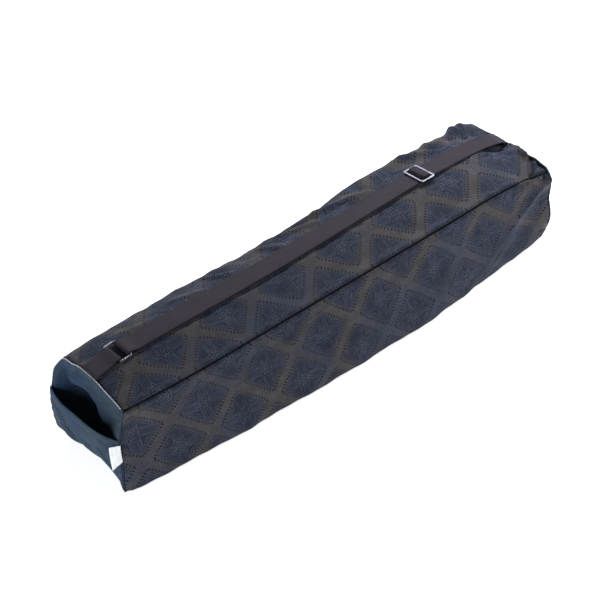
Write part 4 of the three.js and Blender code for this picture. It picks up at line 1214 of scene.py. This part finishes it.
def place_camera():
    """The camera at the photograph's viewing angle."""
    azimuth, elevation, roll = (math.radians(a) for a in (AZIMUTH, ELEVATION, ROLL))
    flat = math.cos(elevation)
    back = np.array([math.sin(azimuth) * flat, -math.cos(azimuth) * flat, math.sin(elevation)])
    level = level_right(back)
    upright = np.cross(back, level)
    right = math.cos(roll) * level + math.sin(roll) * upright
    up = -math.sin(roll) * level + math.cos(roll) * upright
    place = (AIM + back * DISTANCE - right * SIDEWAYS - up * UPWARD) * MM
    data = bpy.data.cameras.new("photo_camera")
    data.sensor_width, data.sensor_fit = SENSOR, "HORIZONTAL"
    data.lens = FOCAL_PIXELS / PHOTO_PIXELS * SENSOR
    data.clip_end = 50
    camera = bpy.data.objects.new("photo_camera", data)
    stand(camera, right, up, back, place)
    bpy.context.scene.camera = camera


WHITE = (1.0, 1.0, 1.0, 1.0)
SKY_STRENGTH, FLOOR_REACH = 0.16, 18.0
# Soft lights: place, what each looks at, size in metres, power in watts and colour
LIGHTS = (
    ((0.8, 0.45, 0.85), (0.15, 0, 0.08), 0.5, 13, (0.96, 0.97, 1.0)),
    ((0.85, -0.6, 0.7), (0.25, 0, 0.05), 0.6, 5.5, (1.0, 0.98, 0.97)),
    ((-1.35, -0.25, 0.36), (-0.35, 0, 0.05), 0.5, 7.5, (0.87, 0.94, 1.0)),
    ((0.3, 1.2, 0.4), (0.15, 0.05, 0.1), 0.3, 8, (0.9, 0.95, 1.0)),
)


def place_lights():
    """The soft lights and an even pale sky."""
    for number, (place, target, size, power, colour) in enumerate(LIGHTS):
        data = bpy.data.lights.new(f"soft_{number}", "AREA")
        data.shape, data.size, data.energy, data.color = "DISK", size, power, colour
        back = np.array(place, float) - np.array(target, float)
        back /= np.linalg.norm(back)
        right = level_right(back)
        stand(bpy.data.objects.new(f"soft_{number}", data), right, np.cross(back, right), back, place)
    world = bpy.data.worlds.new("studio")
    world.use_nodes = True
    background = world.node_tree.nodes["Background"]
    background.inputs["Color"].default_value = WHITE
    background.inputs["Strength"].default_value = SKY_STRENGTH
    bpy.context.scene.world = world
    bpy.context.scene.view_settings.view_transform = "Standard"


def place_floor():
    """The floor, which isn't part of the object."""
    mesh = bpy.data.meshes.new("floor")
    corners = [(FLOOR_REACH * x, FLOOR_REACH * y, 0) for x, y in ((-1, -1), (1, -1), (1, 1), (-1, 1))]
    mesh.from_pydata(corners, [], [(0, 1, 2, 3)])
    mesh.materials.append(plain_floor())
    floor = bpy.data.objects.new("floor", mesh)
    bpy.context.scene.collection.objects.link(floor)


place_camera()
place_lights()
place_floor()

main_cloth = printed_cloth("printed_cloth", GROUND, FIELD, LINE, DARK)
end_cloth = printed_cloth("end_cloth", END_GROUND, END_FIELD, END_LINE, END_FIELD, END_CONTRAST)
strap_cloth = webbing_cloth()
metal = plated_metal()
white_ribbon = ribbon("white_ribbon", LABEL_WHITE, LABEL_SHADE, LABEL_GRAIN)
white_thread = ribbon("white_thread", THREAD_LIGHT, THREAD_DARK, PLAIN_GRAIN)
# The zip tape's material: its own black, with painted shade of the zip's groove added on top
black_tape_painted_shade = ribbon("black_tape_painted_shade", SHADED_TAPE_LIGHT, SHADED_TAPE_DARK, PLAIN_GRAIN)

long_panel(main_cloth)
zip_coil(black_tape_painted_shade)
end_panel("near_end", 0.0, -1, NEAR_HOLLOWS, NEAR_SMALL, end_cloth, "end_panel_near")
end_panel("far_end", 1.0, 1, FAR_HOLLOWS, FAR_SMALL, end_cloth, "end_panel_far")
end_seam("near_seam", 0.0, -1, end_cloth)
end_seam("far_seam", 1.0, 1, end_cloth)
end_pocket(end_cloth)
side_label(white_ribbon)
overlock(white_thread)
strap_tab(strap_cloth)
shoulder_strap(strap_cloth)
wire_ring(metal)
slider(metal)
